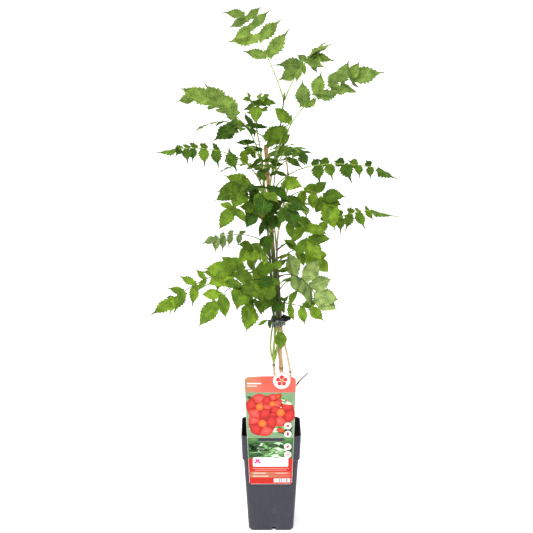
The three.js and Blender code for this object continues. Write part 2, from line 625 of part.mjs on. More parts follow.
/** The point and the direction of a rachis at a share of it. */
function alongRachis(rachis, share) {
  const step = Math.min(Math.floor(share * RACHIS.steps), RACHIS.steps - 1);
  const [from, to] = [rachis[step], rachis[step + 1]];
  return {
    point: from.clone().lerp(to, share * RACHIS.steps - step),
    along: to.clone().sub(from).normalize(),
  };
}

/** Where a leaflet sits and how it lies: its root, three unit directions and its length. */
function leafletPose(number, frond, rachis, leaf, swing, size) {
  const row = leaf % 2;
  const last = leaf === 2 * frond.pairs.length;
  const pair = last ? [1, ...frond.end] : frond.pairs[Math.floor(leaf / 2)];
  const vary = (draw, spread) => spread * (chance(number, leaf, draw) - 0.5);
  const { point, along } = alongRachis(rachis, pair[0]);
  const face = V(...frond.face);
  const up = face.addScaledVector(along, -face.dot(along)).normalize();
  const side = row === 1 && !last ? 1 : -1;
  const out = along.clone().cross(up).multiplyScalar(side);
  const splay = radians(pair[1 + 2 * (last ? 0 : row)]);
  const flat = along.clone().multiplyScalar(Math.cos(splay)).addScaledVector(out, Math.sin(splay));
  const pitch = radians((last ? 0 : frond.pitch?.[row] ?? 0) + vary(2, 14) + SWING_STEP * swing);
  const reach = flat.clone().multiplyScalar(Math.cos(pitch)).addScaledVector(up, Math.sin(pitch));
  reach.addScaledVector(V(0, 0, -1), frond.hang ?? 0).normalize();
  const normal = up.multiplyScalar(Math.cos(pitch)).addScaledVector(flat, -Math.sin(pitch));
  normal.addScaledVector(reach, -normal.dot(reach)).normalize();
  const turned = last ? frond.end[2] ?? 0 : frond.roll?.[row] ?? 0;
  const roll = radians(side * turned + vary(4, 20));
  normal.applyAxisAngle(reach, roll);
  return {
    root: last ? point.addScaledVector(along, -1) : point,
    reach,
    normal,
    across: normal.clone().cross(reach),
    length: pair[2 + 2 * (last ? 0 : row)] * (0.96 + vary(5, 0.08)) * size,
    broad: frond.broad ?? 1,
    arch: BLADE.arch * (0.5 + chance(number, leaf, 6)),
  };
}

/**
 * A leaflet's blade: arched along its rib, folded a little along it, and toothed. Both faces
 * have the same triangles and meet in a sharp rim. grow swells it all round.
 */
function bladeSolid(pose, grow = 0) {
  const { root, reach, normal, across, length, broad, arch } = pose;
  const place = (x, y, z) =>
    root
      .clone()
      .addScaledVector(reach, x)
      .addScaledVector(across, y)
      .addScaledVector(normal, z - (arch * x * x) / length + BLADE.fold * Math.abs(y));
  const edge = (outline, side) =>
    outline.map(([x, y]) => [x * length, side * (y * broad * length + grow)]);
  const right = edge(RIGHT_EDGE, 1);
  const left = edge(LEFT_EDGE, -1);
  const tip = [length + grow, 0];
  const rim = [...right, tip, ...left.reverse()];
  const sides = grow ? [grow, -grow] : [0];
  const points = [];
  for (const z of sides) points.push(...rim.map(([x, y]) => place(x, y, z)));
  const under = grow ? rim.length : 0;
  const ribTop = points.length;
  points.push(place(RIB * length, 0, grow), place(RIB * length, 0, -BLADE.rib - grow));
  const rootTop = points.length;
  points.push(place(0, 0, BLADE.root), place(0, 0, -BLADE.root));
  const index = [];
  const face = (first, rib, start, turn) => {
    const ring = [start, ...rim.map((_, i) => first + i), start];
    for (let i = 0; i + 1 < ring.length; i++) {
      index.push(...(turn ? [ring[i], rib, ring[i + 1]] : [ring[i], ring[i + 1], rib]));
    }
  };
  face(0, ribTop, rootTop, true);
  face(under, ribTop + 1, rootTop + 1, false);
  if (grow) {
    for (let i = 0; i + 1 < rim.length; i++) {
      index.push(i, i + 1, under + i + 1, i, under + i + 1, under + i);
    }
  }
  const tail = rim.length - 1;
  const rootLow = rootTop + 1;
  index.push(rootTop, 0, rootLow, rootTop, rootLow, tail);
  if (grow) index.push(rootLow, 0, under, rootLow, under + tail, tail);
  const geometry = new THREE.BufferGeometry().setFromPoints(points);
  geometry.setIndex(index);
  return solidOf(geometry);
}

/** Everything grown so far, so that a new leaflet can be bent clear of it. */
const grown = [];

function remember(solid, owner) {
  grown.push({ solid, owner, box: solid.boundingBox() });
}

const apart = (a, b) => [0, 1, 2].some((i) => a.min[i] > b.max[i] || b.min[i] > a.max[i]);

/** The shared volume with the frond's own blades, or null where another piece is touched. */
function conflict(solid, owner) {
  const bounds = solid.boundingBox();
  let own = 0;
  for (const other of grown) {
    if (apart(bounds, other.box)) continue;
    if (other.owner === owner && other.isRachis) continue;
    const common = solid.intersect(other.solid);
    const shared = common.isEmpty() ? 0 : common.volume();
    common.delete();
    if (other.owner === owner) own += shared;
    else if (shared > 0) return null;
  }
  return own;
}

/** Grows one leaflet: the first swing and size that are clear, or none. */
function growLeaflet(number, frond, rachis, leaf) {
  let best = null;
  for (const size of SIZES) {
    for (const swing of SWINGS) {
      const pose = leafletPose(number, frond, rachis, leaf, swing, size);
      const swollen = bladeSolid(pose, CLEAR);
      const own = conflict(swollen, frond.name);
      swollen.delete();
      if (own === null) continue;
      if (own < OWN_OVERLAP) {
        const blade = bladeSolid(pose);
        remember(blade, frond.name);
        return blade;
      }
      if (!best || own < best.own) best = { own, pose };
    }
    if (best) break;
  }
  if (!best) return null;
  const blade = bladeSolid(best.pose);
  remember(blade, frond.name);
  return blade;
}

/** The rachis's solid: a flat side of its foot faces the stem. */
function rachisSolid(rachis) {
  const { steps, foot, tip, sides } = RACHIS;
  const radii = rachis.map((_, i) => THREE.MathUtils.lerp(foot, tip, i / steps));
  const away = rachis[1].clone().sub(rachis[0]).setZ(0).normalize();
  return solidOf(tube(rachis, radii, sides, away));
}

// ---------------------------------------------------------------- the whole plant

const LOOKS = {
  pot: ["#4c4b58", 0.55],
  soil: ["#2b211a", 0.95],
  label: ["#d8432c", 0.35],
  cane: ["#c9a36a", 0.5],
  tie: ["#1d211d", 0.6],
  wood: ["#b59a76", 0.8],
  shoot: ["#86a848", 0.5],
  frond: ["#558a26", 0.5],
};

const plant = new THREE.Group();
plant.name = "trumpet_vine";

function add(name, solid, look) {
  const [color, roughness] = LOOKS[look];
  const material = new THREE.MeshStandardMaterial({ color, roughness, metalness: 0 });
  const mesh = new THREE.Mesh(geometryOf(solid), material);
  mesh.name = name;
  plant.add(mesh);
}

const WOODY = ["woody_stump", "pruned_stem", "dead_twig"];
const cane = caneSolid();
const stems = new Map(Object.entries(STEMS).map(([name, stem]) => [name, stemSolid(stem)]));
const pot = potSolid();
const label = labelSolid();

/** The hole that a stem stands in: its own line, a little wider. */
function holeFor(line, radius) {
  return solidOf(tube(line, line.map(() => radius + GAP), 8));
}

const stakes = [holeFor([caneAt(CANE.foot[2] - GAP), caneAt(SOIL.top + 20)], CANE.footRadius)];
for (const name of WOODY) {
  const stem = STEMS[name];
  const low = stem.knots[0][2] - GAP;
  const line = [low, 150, SOIL.top + 20].map((z) => stemAt(stem, Math.max(z, stem.knots[0][2])).setZ(z));
  stakes.push(holeFor(line, stem.foot + 0.4));
}
const soil = soilSolid(stakes);

for (const [name, solid] of [["cane", cane], ["pot", pot], ["label", label], ["soil", soil]]) {
  remember(solid, name);
}
for (const [name, solid] of stems) remember(solid, name);
const ties = TIES.map((tie) => tieSolid(tie));
ties.forEach((tie, i) => remember(tie, `tie_${i + 1}`));

const rachises = FRONDS.map((frond) => rachisOf(frond));
const stalks = rachises.map((rachis) => rachisSolid(rachis));
stalks.forEach((stalk, i) => {
  remember(stalk, FRONDS[i].name);
  grown[grown.length - 1].isRachis = true;
});

add("pot", pot, "pot");
add("soil", soil, "soil");
add("label", label, "label");
add("bamboo_cane", cane, "cane");
ties.forEach((tie, i) => add(`tie_${i + 1}`, tie, "tie"));
const shoots = [...stems].filter(([name]) => !WOODY.includes(name)).map(([, solid]) => solid);
add("green_shoots", wasm.Manifold.union(shoots), "shoot");
for (const name of WOODY) add(name, stems.get(name), "wood");
FRONDS.forEach((frond, number) => {
  const blades = [];
  for (let leaf = 2 * frond.pairs.length; leaf >= 0; leaf--) {
    const blade = growLeaflet(number, frond, rachises[number], leaf);
    if (blade) blades.push(blade);
  }
  const whole = wasm.Manifold.union([stalks[number], ...blades]);
  add(`frond_${frond.name}`, whole, "frond");
});

export default plant;
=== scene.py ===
"""A young trumpet vine, tied to a bamboo cane in a square nursery pot with a plant label.

Blender works in metres here, with +Z up and the pot's front towards -Y. The plant's own tables
of stems and fronds are in millimetres, the unit that their solids were drawn in.
"""

import logging
import math
from collections.abc import Callable, Iterator
from dataclasses import dataclass, replace
from enum import Enum

import bpy
import numpy as np
from mathutils import Matrix, Quaternion, Vector
from mathutils.kdtree import KDTree


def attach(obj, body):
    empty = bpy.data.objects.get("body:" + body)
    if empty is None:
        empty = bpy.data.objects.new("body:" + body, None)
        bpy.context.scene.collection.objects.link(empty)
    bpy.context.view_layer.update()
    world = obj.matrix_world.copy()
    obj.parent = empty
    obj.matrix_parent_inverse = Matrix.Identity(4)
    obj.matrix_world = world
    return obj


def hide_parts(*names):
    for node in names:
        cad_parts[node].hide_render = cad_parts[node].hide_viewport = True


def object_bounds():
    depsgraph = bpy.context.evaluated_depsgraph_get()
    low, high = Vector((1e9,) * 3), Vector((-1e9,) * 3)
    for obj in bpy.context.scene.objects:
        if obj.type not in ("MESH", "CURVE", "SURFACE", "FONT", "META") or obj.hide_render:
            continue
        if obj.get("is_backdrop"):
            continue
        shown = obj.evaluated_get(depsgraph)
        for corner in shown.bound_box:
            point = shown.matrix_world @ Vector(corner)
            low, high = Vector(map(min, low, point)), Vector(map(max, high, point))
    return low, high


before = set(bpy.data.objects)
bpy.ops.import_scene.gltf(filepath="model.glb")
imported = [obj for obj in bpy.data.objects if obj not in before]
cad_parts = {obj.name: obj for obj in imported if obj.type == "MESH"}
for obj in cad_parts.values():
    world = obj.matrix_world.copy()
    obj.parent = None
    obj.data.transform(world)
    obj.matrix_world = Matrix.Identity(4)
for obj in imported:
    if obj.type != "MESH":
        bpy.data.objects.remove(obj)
CAD_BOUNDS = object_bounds()

MM = 0.001
GAP = 0.35  # mm that two neighbouring solids keep between them
NEAR = 0.1  # mm within which a point counts as being at a height
LOG = logging.getLogger("trumpet_vine")

Point = tuple[float, float, float]
Edge = list[tuple[float, float]]
Shapes = Iterator[tuple]
Rows = tuple[tuple[float, ...], ...]
Piece = bpy.types.Object
Material = bpy.types.Material
Node = bpy.types.Node
Socket = bpy.types.NodeSocket


def srgb(red: int, green: int, blue: int) -> tuple[float, float, float, float]:
    """The linear colour, with an alpha of 1, of an 8-bit screen colour."""
    linear = [c / 12.92 if c <= 0.04045 else ((c + 0.055) / 1.055) ** 2.4
        for c in (red / 255, green / 255, blue / 255)]
    return (*linear, 1.0)


def chance(group: int, member: int, draw: int) -> float:
    """A repeatable number from 0 to 1 for one member of a group, such as a frond's leaflet."""
    wave = math.sin(group * 12.9898 + member * 78.233 + draw * 37.719) * 43758.5453
    return wave - math.floor(wave)


def swelling(away: float, width: float) -> float:
    """A soft bump: 1 where away is 0, and almost 0 from twice its width on."""
    return math.exp(-((away / width) ** 2))


def deselect() -> None:
    """Deselects every object, so that an operator acts on the new piece alone."""
    bpy.ops.object.select_all(action="DESELECT")


def select_only(piece: Piece) -> None:
    """Makes a piece the only selected and the active object."""
    deselect()
    piece.select_set(True)
    bpy.context.view_layer.objects.active = piece


def added(operator: Callable, **settings: object) -> Piece:
    """Runs one of the add operators with nothing else selected, and returns the new object."""
    deselect()
    operator(**settings)
    return bpy.context.object


def mode(name: str) -> None:
    """Puts the active object in OBJECT or EDIT mode."""
    bpy.ops.object.mode_set(mode=name)


def face_out() -> None:
    """Turns every face of the edited mesh outwards."""
    bpy.ops.mesh.select_all(action="SELECT")
    bpy.ops.mesh.normals_make_consistent(inside=False)


def cut_level(z: float) -> None:
    """Cuts a ring of edges round the edited mesh at a height, in metres."""
    bpy.ops.mesh.select_all(action="SELECT")
    bpy.ops.mesh.bisect(plane_co=(0, 0, z), plane_no=(0, 0, 1))


def scale_about(centre: Point, factors: Point) -> None:
    """Scales what is selected in edit mode about a point."""
    bpy.ops.transform.resize(value=factors, center_override=centre)


def extrude_up(rise: float) -> None:
    """Extrudes what is selected in edit mode by a height, in metres."""
    bpy.ops.mesh.extrude_region_move(TRANSFORM_OT_translate={"value": (0, 0, rise)})


def pick(piece: Piece, chosen: Callable, edges: bool = False) -> None:
    """Selects, in edit mode, the vertices or edges whose place passes a test.

    Args:
        piece: the active object, in edit mode.
        chosen: a test of a vertex's place, or of the places of an edge's two ends.
        edges: whether edges are tested instead of vertices.
    """
    bpy.context.tool_settings.mesh_select_mode = (not edges, edges, False)
    bpy.ops.mesh.select_all(action="DESELECT")
    mode("OBJECT")
    mesh = piece.data
    places = [vertex.co for vertex in mesh.vertices]
    if edges:
        for edge in mesh.edges:
            edge.select = bool(chosen(*(places[i] for i in edge.vertices)))
    else:
        flags = [bool(chosen(place)) for place in places]
        mesh.vertices.foreach_set("select", flags)
        for part in (mesh.edges, mesh.polygons):
            part.foreach_set("select", [all(flags[i] for i in face.vertices) for face in part])
    mode("EDIT")


def apply_modifier(piece: Piece, kind: str, **settings: object) -> None:
    """Adds a modifier to a piece, sets it and applies it."""
    select_only(piece)
    modifier = piece.modifiers.new(kind.lower(), kind)
    for name, value in settings.items():
        setattr(modifier, name, value)
    bpy.ops.object.modifier_apply(modifier=modifier.name)


def paint(piece: Piece, *materials: Material) -> None:
    """Gives a piece its materials, in the order of its faces' material numbers."""
    for material in materials:
        piece.data.materials.append(material)


def dye(piece: Piece, name: str, colours: list[tuple]) -> None:
    """Gives each point of a piece a colour, which its material reads under a name."""
    stored = piece.data.attributes.new(name, "FLOAT_COLOR", "POINT")
    stored.data.foreach_set("color", np.array(colours, dtype=np.float32).ravel())


def copy_of(piece: Piece) -> Piece:
    """A copy of a piece, with its own mesh."""
    twin = piece.copy()
    twin.data = piece.data.copy()
    bpy.context.collection.objects.link(twin)
    return twin


def smooth(piece: Piece, degrees: float = 40) -> None:
    """Shades a piece smooth, apart from the edges that are sharper than an angle."""
    select_only(piece)
    bpy.ops.object.shade_smooth_by_angle(angle=math.radians(degrees))


def join(pieces: list[Piece], name: str) -> Piece:
    """Joins pieces into the first of them.

    Args:
        pieces: what is joined.
        name: the name of the whole.

    Returns:
        The whole.
    """
    deselect()
    for piece in pieces:
        piece.select_set(True)
    bpy.context.view_layer.objects.active = pieces[0]
    if len(pieces) > 1:
        bpy.ops.object.join()
    pieces[0].name = name
    pieces[0].data.name = name
    return pieces[0]


def hand_over(piece: Piece, slot: str, *nodes: str) -> Piece:
    """Lets a finished piece ride with the object.

    Args:
        piece: the piece.
        slot: the part of the object that it belongs to. It is not used.
        nodes: the solids that it takes the place of.

    Returns:
        The same piece.
    """
    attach(piece, "root")
    if nodes:
        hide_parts(*nodes)
    LOG.info("%s: %d faces", piece.name, len(piece.data.polygons))
    return piece


def sweep(name: str, line: list[Vector], radii: list[float], rounds: int = 1) -> Piece:
    """Models a capped round tube along a line.

    Args:
        name: the new object's name.
        line, radii: the points that it follows and its radius at each, in metres.
        rounds: Blender's bevel resolution, which gives 2 * rounds + 4 sides.

    Returns:
        The tube.
    """
    piece = added(bpy.ops.curve.primitive_bezier_curve_add)
    curve = piece.data
    curve.splines.clear()
    spline = curve.splines.new("POLY")
    spline.points.add(len(line) - 1)
    for point, place, radius in zip(spline.points, line, radii):
        point.co = (*place, 1)
        point.radius = radius
    curve.dimensions = "3D"
    curve.bevel_depth = 1
    curve.bevel_resolution = rounds
    curve.use_fill_caps = True
    bpy.ops.object.convert(target="MESH")
    piece.name = name
    mode("EDIT")
    bpy.ops.mesh.select_all(action="SELECT")
    bpy.ops.mesh.remove_doubles(threshold=MM / 1000)
    face_out()
    mode("OBJECT")
    return piece


class Shader:
    """Writes shader nodes: each method adds one node and returns its output."""

    def __init__(self, tree: bpy.types.NodeTree) -> None:
        """Keeps the tree that the nodes are added to."""
        self.tree = tree

    def add(self, kind: str, inputs: dict | None = None, **settings: object) -> Node:
        """Adds a node.

        Args:
            kind: the node's type name, without ShaderNode.
            inputs: a value or another node's output for each input, by its name or number.
            settings: the node's own properties.

        Returns:
            The node.
        """
        node = self.tree.nodes.new("ShaderNode" + kind)
        for name, value in settings.items():
            setattr(node, name, value)
        for key, value in (inputs or {}).items():
            if isinstance(value, Socket):
                self.tree.links.new(value, node.inputs[key])
            else:
                node.inputs[key].default_value = value
        return node

    def math(self, operation: str, first: object, second: object = 0.5) -> Socket:
        """The result of a math node."""
        return self.add("Math", {0: first, 1: second}, operation=operation).outputs[0]

    def times(self, first: object, second: object) -> Socket:
        """The product of two values."""
        return self.math("MULTIPLY", first, second)

    def plus(self, first: object, second: object) -> Socket:
        """The sum of two values."""
        return self.math("ADD", first, second)

    def minus(self, first: object, second: object) -> Socket:
        """The first value less the second."""
        return self.math("SUBTRACT", first, second)

    def mix(self, share: object, first: object, second: object, blend: str = "MIX") -> Socket:
        """A colour mixed from two others."""
        inputs = {0: share, 6: first, 7: second}
        return self.add("Mix", inputs, data_type="RGBA", blend_type=blend).outputs[2]

    def ease(self, value: object, low: float, high: float) -> Socket:
        """0 up to low and 1 from high on, with a smooth step between them."""
        inputs = {"Value": value, "From Min": low, "From Max": high}
        return self.add("MapRange", inputs, interpolation_type="SMOOTHSTEP").outputs["Result"]

    def noise(self, vector: Socket, scale: object, detail: float = 3) -> Socket:
        """Soft noise from 0 to 1."""
        inputs = {"Vector": vector, "Scale": scale, "Detail": detail}
        return self.add("TexNoise", inputs).outputs[0]

    def feed(self, surface: Node, socket: str, value: Socket) -> None:
        """Links a value to one of a shader's sockets."""
        self.tree.links.new(value, surface.inputs[socket])


class Group:
    """A shader node group with named sockets, built once and placed in several materials."""

    def __init__(self, name: str, inputs: dict[str, object], outputs: dict[str, str]) -> None:
        """Makes the empty group.

        Args:
            name: the group's name.
            inputs: each input's name and its default value. A 4-tuple is a colour.
            outputs: each output's name and its socket type, Float or Color.
        """
        self.tree = bpy.data.node_groups.new(name, "ShaderNodeTree")
        new_socket = self.tree.interface.new_socket
        for socket, value in inputs.items():
            kind = "Vector" if value is None else "Color" if isinstance(value, tuple) else "Float"
            made = new_socket(socket, in_out="INPUT", socket_type="NodeSocket" + kind)
            if value is not None:
                made.default_value = value
        for socket, kind in outputs.items():
            new_socket(socket, in_out="OUTPUT", socket_type="NodeSocket" + kind)
        self.shader = Shader(self.tree)
        self.given = self.tree.nodes.new("NodeGroupInput").outputs
        self.result = self.tree.nodes.new("NodeGroupOutput").inputs

    def give(self, name: str, value: Socket) -> None:
        """Links a value to one of the group's outputs."""
        self.tree.links.new(value, self.result[name])

    def place(self, shader: Shader, inputs: dict[str, object]) -> bpy.types.NodeOutputs:
        """Places the group in a material and returns its outputs."""
        return shader.add("Group", inputs, node_tree=self.tree).outputs


@dataclass(frozen=True)
class Finish:
    """A material's even values, set on the shader's own sockets."""

    name: str
    roughness: float
    specular: float = 0.5
    coat: float = 0.0

    def start(self) -> tuple[Material, Shader, Node]:
        """Makes the material. Returns it, a writer for its nodes and its Principled shader."""
        material = bpy.data.materials.new(self.name)
        material.use_nodes = True
        surface = material.node_tree.nodes["Principled BSDF"]
        surface.inputs["Roughness"].default_value = self.roughness
        surface.inputs["Specular IOR Level"].default_value = self.specular
        surface.inputs["Coat Weight"].default_value = self.coat
        return material, Shader(material.node_tree), surface


def relief(shader: Shader, surface: Node, height: Socket, depth: float) -> None:
    """Feeds a height to a shader's normal. A height of 1 is depth metres deep."""
    bump = shader.add("Bump", {"Height": height, "Distance": depth, "Strength": 1.0})
    shader.feed(surface, "Normal", bump.outputs["Normal"])


@dataclass(frozen=True)
class Skin:
    """A mottled finish: its slot, even values and 8-bit colours, how fine and deep it is."""

    slot: str
    name: str
    roughness: float
    dark: tuple
    light: tuple
    scale: float
    depth: float
    streaked: bool = True
    coat: float = 0


@dataclass(frozen=True)
class Blade:
    """One side of a leaflet: its even values, its 8-bit colours and its veins."""

    name: str
    roughness: float
    deep: tuple
    fresh: tuple
    pale: tuple  # of its veins
    relief: float  # metres that they sink in, or stand out where it is below 0


FACE = Blade("leaflet_face", 0.4, (36, 88, 4), (156, 196, 44), (178, 204, 106), 0.0008)
UNDERSIDE = Blade(
    "leaflet_underside", 0.58, (92, 130, 52), (164, 190, 104), (184, 206, 132), -0.0003
)
SKINS = (
    Skin("shoot", "green_shoot", 0.5, (104, 136, 44), (168, 188, 92), 90, 0.0002),
    # painted shade on shoots where they lie in the bundle; also the dark top of the tallest shoot and
    # the small leaves' stalks
    Skin("dark_shoot", "dark_shoot", 0.5, (26, 46, 8), (76, 102, 30), 90, 0.0002),
    Skin("old_wood", "old_wood", 0.8, (176, 144, 108), (222, 200, 168), 60, 0.0005),
    Skin("bamboo", "bamboo", 0.5, (168, 122, 80), (230, 194, 146), 46, 0.0002),
    Skin("node_wood", "bamboo_node", 0.6, (112, 74, 44), (176, 128, 84), 80, 0.0003),
    Skin("twig", "dead_wood", 0.85, (84, 52, 42), (150, 108, 88), 70, 0.0004),
    Skin("pith", "cut_wood", 0.85, (206, 178, 132), (232, 212, 172), 900, 0.0002, False),
    # painted shade: the pot's inside is darker than its outside
    Skin("plastic_inside", "shaded_pot_inside", 0.6, (18, 18, 22), (30, 30, 34), 30, 0, False),
    Skin("scar", "node_scar", 0.85, (58, 40, 26), (112, 84, 58), 300, 0.0004, False),
    Skin("compost", "compost", 0.95, (38, 27, 20), (74, 54, 38), 260, 0.0012, False),
    Skin("chip", "bark_chip", 0.9, (84, 58, 38), (138, 98, 64), 300, 0.0006, False),
    Skin("strap", "tie_plastic", 0.45, (10, 11, 11), (34, 38, 38), 500, 0.0001, False),
    Skin("wrap", "tie_wrapping", 0.4, (30, 34, 28), (128, 136, 124), 260, 0.0003, False),
    Skin("film", "label_film", 0.35, (236, 232, 226), (248, 246, 242), 30, 0, False, 0.2),
)


class Finishes:
    """Every material of the object, and the node groups that they share."""

    VEIN_START = 1 / 40  # where the first side vein leaves the rib, as a share of the length
    VEIN_PITCH = 4 / 40  # from one side vein to the next
    VEIN_SLANT = 2 * VEIN_PITCH  # how much further on a vein reaches the edge
    VEIN_STAGGER = 2 / 40  # how far the left side's veins are set on from the right side's
    GREYED, DRY_TIP = srgb(150, 166, 132), srgb(176, 112, 52)
    POT_DARK, POT_LIGHT = srgb(36, 36, 48), srgb(46, 46, 59)
    DUST, SCUFF = srgb(104, 102, 110), srgb(104, 104, 120)
    # the dark green of the painted shade in the heart of the bundle
    PAINTED_SHADE_GREEN = srgb(32, 56, 6)

    def __init__(self) -> None:
        """Builds the node groups, and then the materials that they are placed in."""
        self.mottle = self._mottle_group()
        self.grain = self._grain_group()
        self.shade = self._shade_group()
        self.veins = self._vein_group()
        self.blade = self._blade(FACE)
        self.underside = self._blade(UNDERSIDE)
        for skin in SKINS:
            setattr(self, skin.slot, self._skin(skin))
        self.plastic = self._pot_plastic()
        self.print = self._print()

    @staticmethod
    def _mottle_group() -> Group:
        """Two colours that mix in soft patches, with finer specks in them."""
        group = Group("mottling", {"Vector": None, "Scale": 50.0, "Dark": (0, 0, 0, 1),
            "Light": (1, 1, 1, 1)}, {"Colour": "Color", "Patch": "Float"})
        write, given = group.shader, group.given
        patch = write.noise(given["Vector"], given["Scale"], 4)
        fine = write.noise(given["Vector"], write.times(given["Scale"], 7), 2)
        share = write.ease(write.plus(patch, write.times(fine, 0.35)), 0.45, 0.9)
        group.give("Colour", write.mix(share, given["Dark"], given["Light"]))
        group.give("Patch", share)
        return group

    @staticmethod
    def _grain_group() -> Group:
        """Long streaks along Z, for bark, cane and skin."""
        group = Group("long_grain", {"Vector": None, "Scale": 60.0}, {"Streak": "Float"})
        write, given = group.shader, group.given
        drawn = write.add("Mapping", {"Vector": given["Vector"], "Scale": (1, 1, 0.06)})
        coarse = write.add("TexNoise", {"Vector": drawn.outputs[0], "Scale": given["Scale"],
            "Detail": 5.0, "Roughness": 0.6}).outputs[0]
        group.give("Streak", write.ease(coarse, 0.3, 0.7))
        return group

    @staticmethod
    def _shade_group() -> Group:
        """Painted shade in the heart of the bundle: 1 at its middle heights, 0 beyond them."""
        group = Group("bundle_shade", {"Vector": None}, {"Shade": "Float"})
        write, given = group.shader, group.given
        height = write.add("SeparateXYZ", {0: given["Vector"]}).outputs["Z"]
        rise = write.ease(height, 0.385, 0.41)
        fall = write.ease(write.minus(0.58, height), 0.0, 0.07)
        patch = write.ease(write.noise(given["Vector"], 45, 3), 0.2, 0.52)
        group.give("Shade", write.times(write.times(rise, fall), patch))
        return group

    def _vein_group(self) -> Group:
        """A leaflet's rib, its side veins and the net between them, from its UV map."""
        group = Group("leaf_veins", {"Vector": None},
            {"Vein": "Float", "Net": "Float", "Height": "Float"})
        write, given = group.shader, group.given
        parts = write.add("SeparateXYZ", {0: given["Vector"]}).outputs
        side = write.math("ABSOLUTE", write.minus(write.times(parts["Y"], 2), 1))
        drawn = write.times(side, self.VEIN_SLANT)
        left = write.times(write.math("LESS_THAN", parts["Y"], 0.5), self.VEIN_STAGGER)
        begun = write.minus(parts["X"], self.VEIN_START)
        start = write.minus(write.minus(begun, drawn), left)
        phase = write.math("FRACT", write.math("DIVIDE", start, self.VEIN_PITCH), 0)
        near = write.math("ABSOLUTE", write.minus(phase, 0.5))
        line = write.times(write.ease(near, 0.3, 0.5), 0.75)
        rib = write.ease(write.minus(0.06, side), 0.0, 0.04)
        vein = write.math("MAXIMUM", rib, line)
        flat = write.add("Mapping", {"Vector": given["Vector"], "Scale": (1, 0.55, 1)})
        cells = write.add("TexVoronoi", {"Vector": flat.outputs[0], "Scale": 46.0},
            feature="DISTANCE_TO_EDGE").outputs["Distance"]
        net = write.ease(write.minus(0.12, cells), 0.0, 0.1)
        group.give("Vein", vein)
        group.give("Net", net)
        dip = write.plus(vein, write.times(net, 0.25))
        group.give("Height", write.minus(1.0, dip))
        return group

    def _blade(self, blade: Blade) -> Material:
        """One side of a leaflet.

        Its tint's red, green and blue say how light, how dry and how grey a leaflet is.
        """
        material, write, surface = Finish(blade.name, blade.roughness, specular=0.08).start()
        places = write.add("TexCoord").outputs
        veins = self.veins.place(write, {"Vector": places["UV"]})
        tint = write.add("Attribute", attribute_name="tint").outputs["Color"]
        tone = write.add("SeparateColor", {0: tint}).outputs
        colour = write.mix(tone["Red"], srgb(*blade.deep), srgb(*blade.fresh))
        colour = write.mix(tone["Blue"], colour, self.GREYED)
        # random patches that darken and lighten the blade: partly its mottled tone, partly painted
        # shade and painted highlight
        patch = write.noise(places["Object"], 85, 4)
        dark, light = (0.47, 0.54, 0.36, 1), (1.3, 1.22, 1.05, 1)
        shade = write.mix(write.ease(patch, 0.35, 0.7), dark, light)
        colour = write.mix(1.0, colour, shade, "MULTIPLY")
        pale = srgb(*blade.pale)
        colour = write.mix(write.times(veins["Net"], 0.18), colour, pale)
        strength = write.plus(write.times(tone["Red"], 0.5), write.times(tone["Blue"], 0.7))
        strength = write.times(veins["Vein"], write.plus(strength, 0.2))
        colour = write.mix(strength, colour, pale)
        along = write.add("SeparateXYZ", {0: places["UV"]}).outputs["X"]
        tip = write.times(write.ease(along, 0.72, 1.0), tone["Green"])
        colour = write.mix(tip, colour, self.DRY_TIP)
        write.feed(surface, "Base Color", colour)
        relief(write, surface, veins["Height"], blade.relief)
        return material

    def _skin(self, skin: Skin) -> Material:
        """A mottled finish, with streaks and painted shade where it is a stem's skin."""
        material, write, surface = Finish(skin.name, skin.roughness, 0.25, skin.coat).start()
        places = write.add("TexCoord").outputs["Object"]
        light = srgb(*skin.light)
        patch = self.mottle.place(write, {"Vector": places, "Scale": skin.scale,
            "Dark": srgb(*skin.dark), "Light": light})
        colour, height = patch["Colour"], patch["Patch"]
        if skin.streaked:
            inputs = {"Vector": places, "Scale": skin.scale * 6.0}
            height = self.grain.place(write, inputs)["Streak"]
            colour = write.mix(write.times(height, 0.55), colour, light)
            # painted shade: stems in the heart of the bundle darken towards a dark green
            painted_shade = self.shade.place(write, {"Vector": places})["Shade"]
            colour = write.mix(write.times(painted_shade, 0.85), colour, self.PAINTED_SHADE_GREEN)
        write.feed(surface, "Base Color", colour)
        if skin.depth:
            relief(write, surface, height, skin.depth)
        return material

    def _pot_plastic(self) -> Material:
        """Blue-grey moulded plastic with a fine tooth, scuffs and lighter patches near the foot."""
        material, write, surface = Finish("pot_plastic", 0.55, specular=0.45).start()
        places = write.add("TexCoord").outputs["Object"]
        patch = self.mottle.place(write, {"Vector": places, "Scale": 24.0,
            "Dark": self.POT_DARK, "Light": self.POT_LIGHT})
        height = write.add("SeparateXYZ", {0: places}).outputs["Z"]
        # lighter patches towards the foot
        foot_patches = write.times(write.ease(write.noise(places, 70, 5), 0.52, 0.8),
            write.ease(write.minus(0.09, height), 0.0, 0.09))
        colour = write.mix(write.times(foot_patches, 0.25), patch["Colour"], self.DUST)
        streaks = self.grain.place(write, {"Vector": places, "Scale": 420.0})["Streak"]
        colour = write.mix(write.times(streaks, 0.06), colour, self.SCUFF)
        write.feed(surface, "Base Color", colour)
        rough = write.plus(write.times(patch["Patch"], 0.18), 0.45)
        write.feed(surface, "Roughness", rough)
        relief(write, surface, write.noise(places, 1400, 2), 0.00012)
        return material

    def _print(self) -> Material:
        """Ink on the label's film. Each printed shape carries its own colours."""
        material, write, surface = Finish("label_print", 0.4, specular=0.3).start()
        ink = write.add("Attribute", attribute_name="ink").outputs["Color"]
        places = write.add("TexCoord").outputs["Object"]
        patch = write.ease(write.noise(places, 240, 3), 0.3, 0.7)
        shade = write.mix(patch, (0.95, 0.95, 0.95, 1), (1.03, 1.03, 1.03, 1))
        write.feed(surface, "Base Color", write.mix(1.0, ink, shade, "MULTIPLY"))
        relief(write, surface, write.noise(places, 300, 2), 0.00004)
        return material


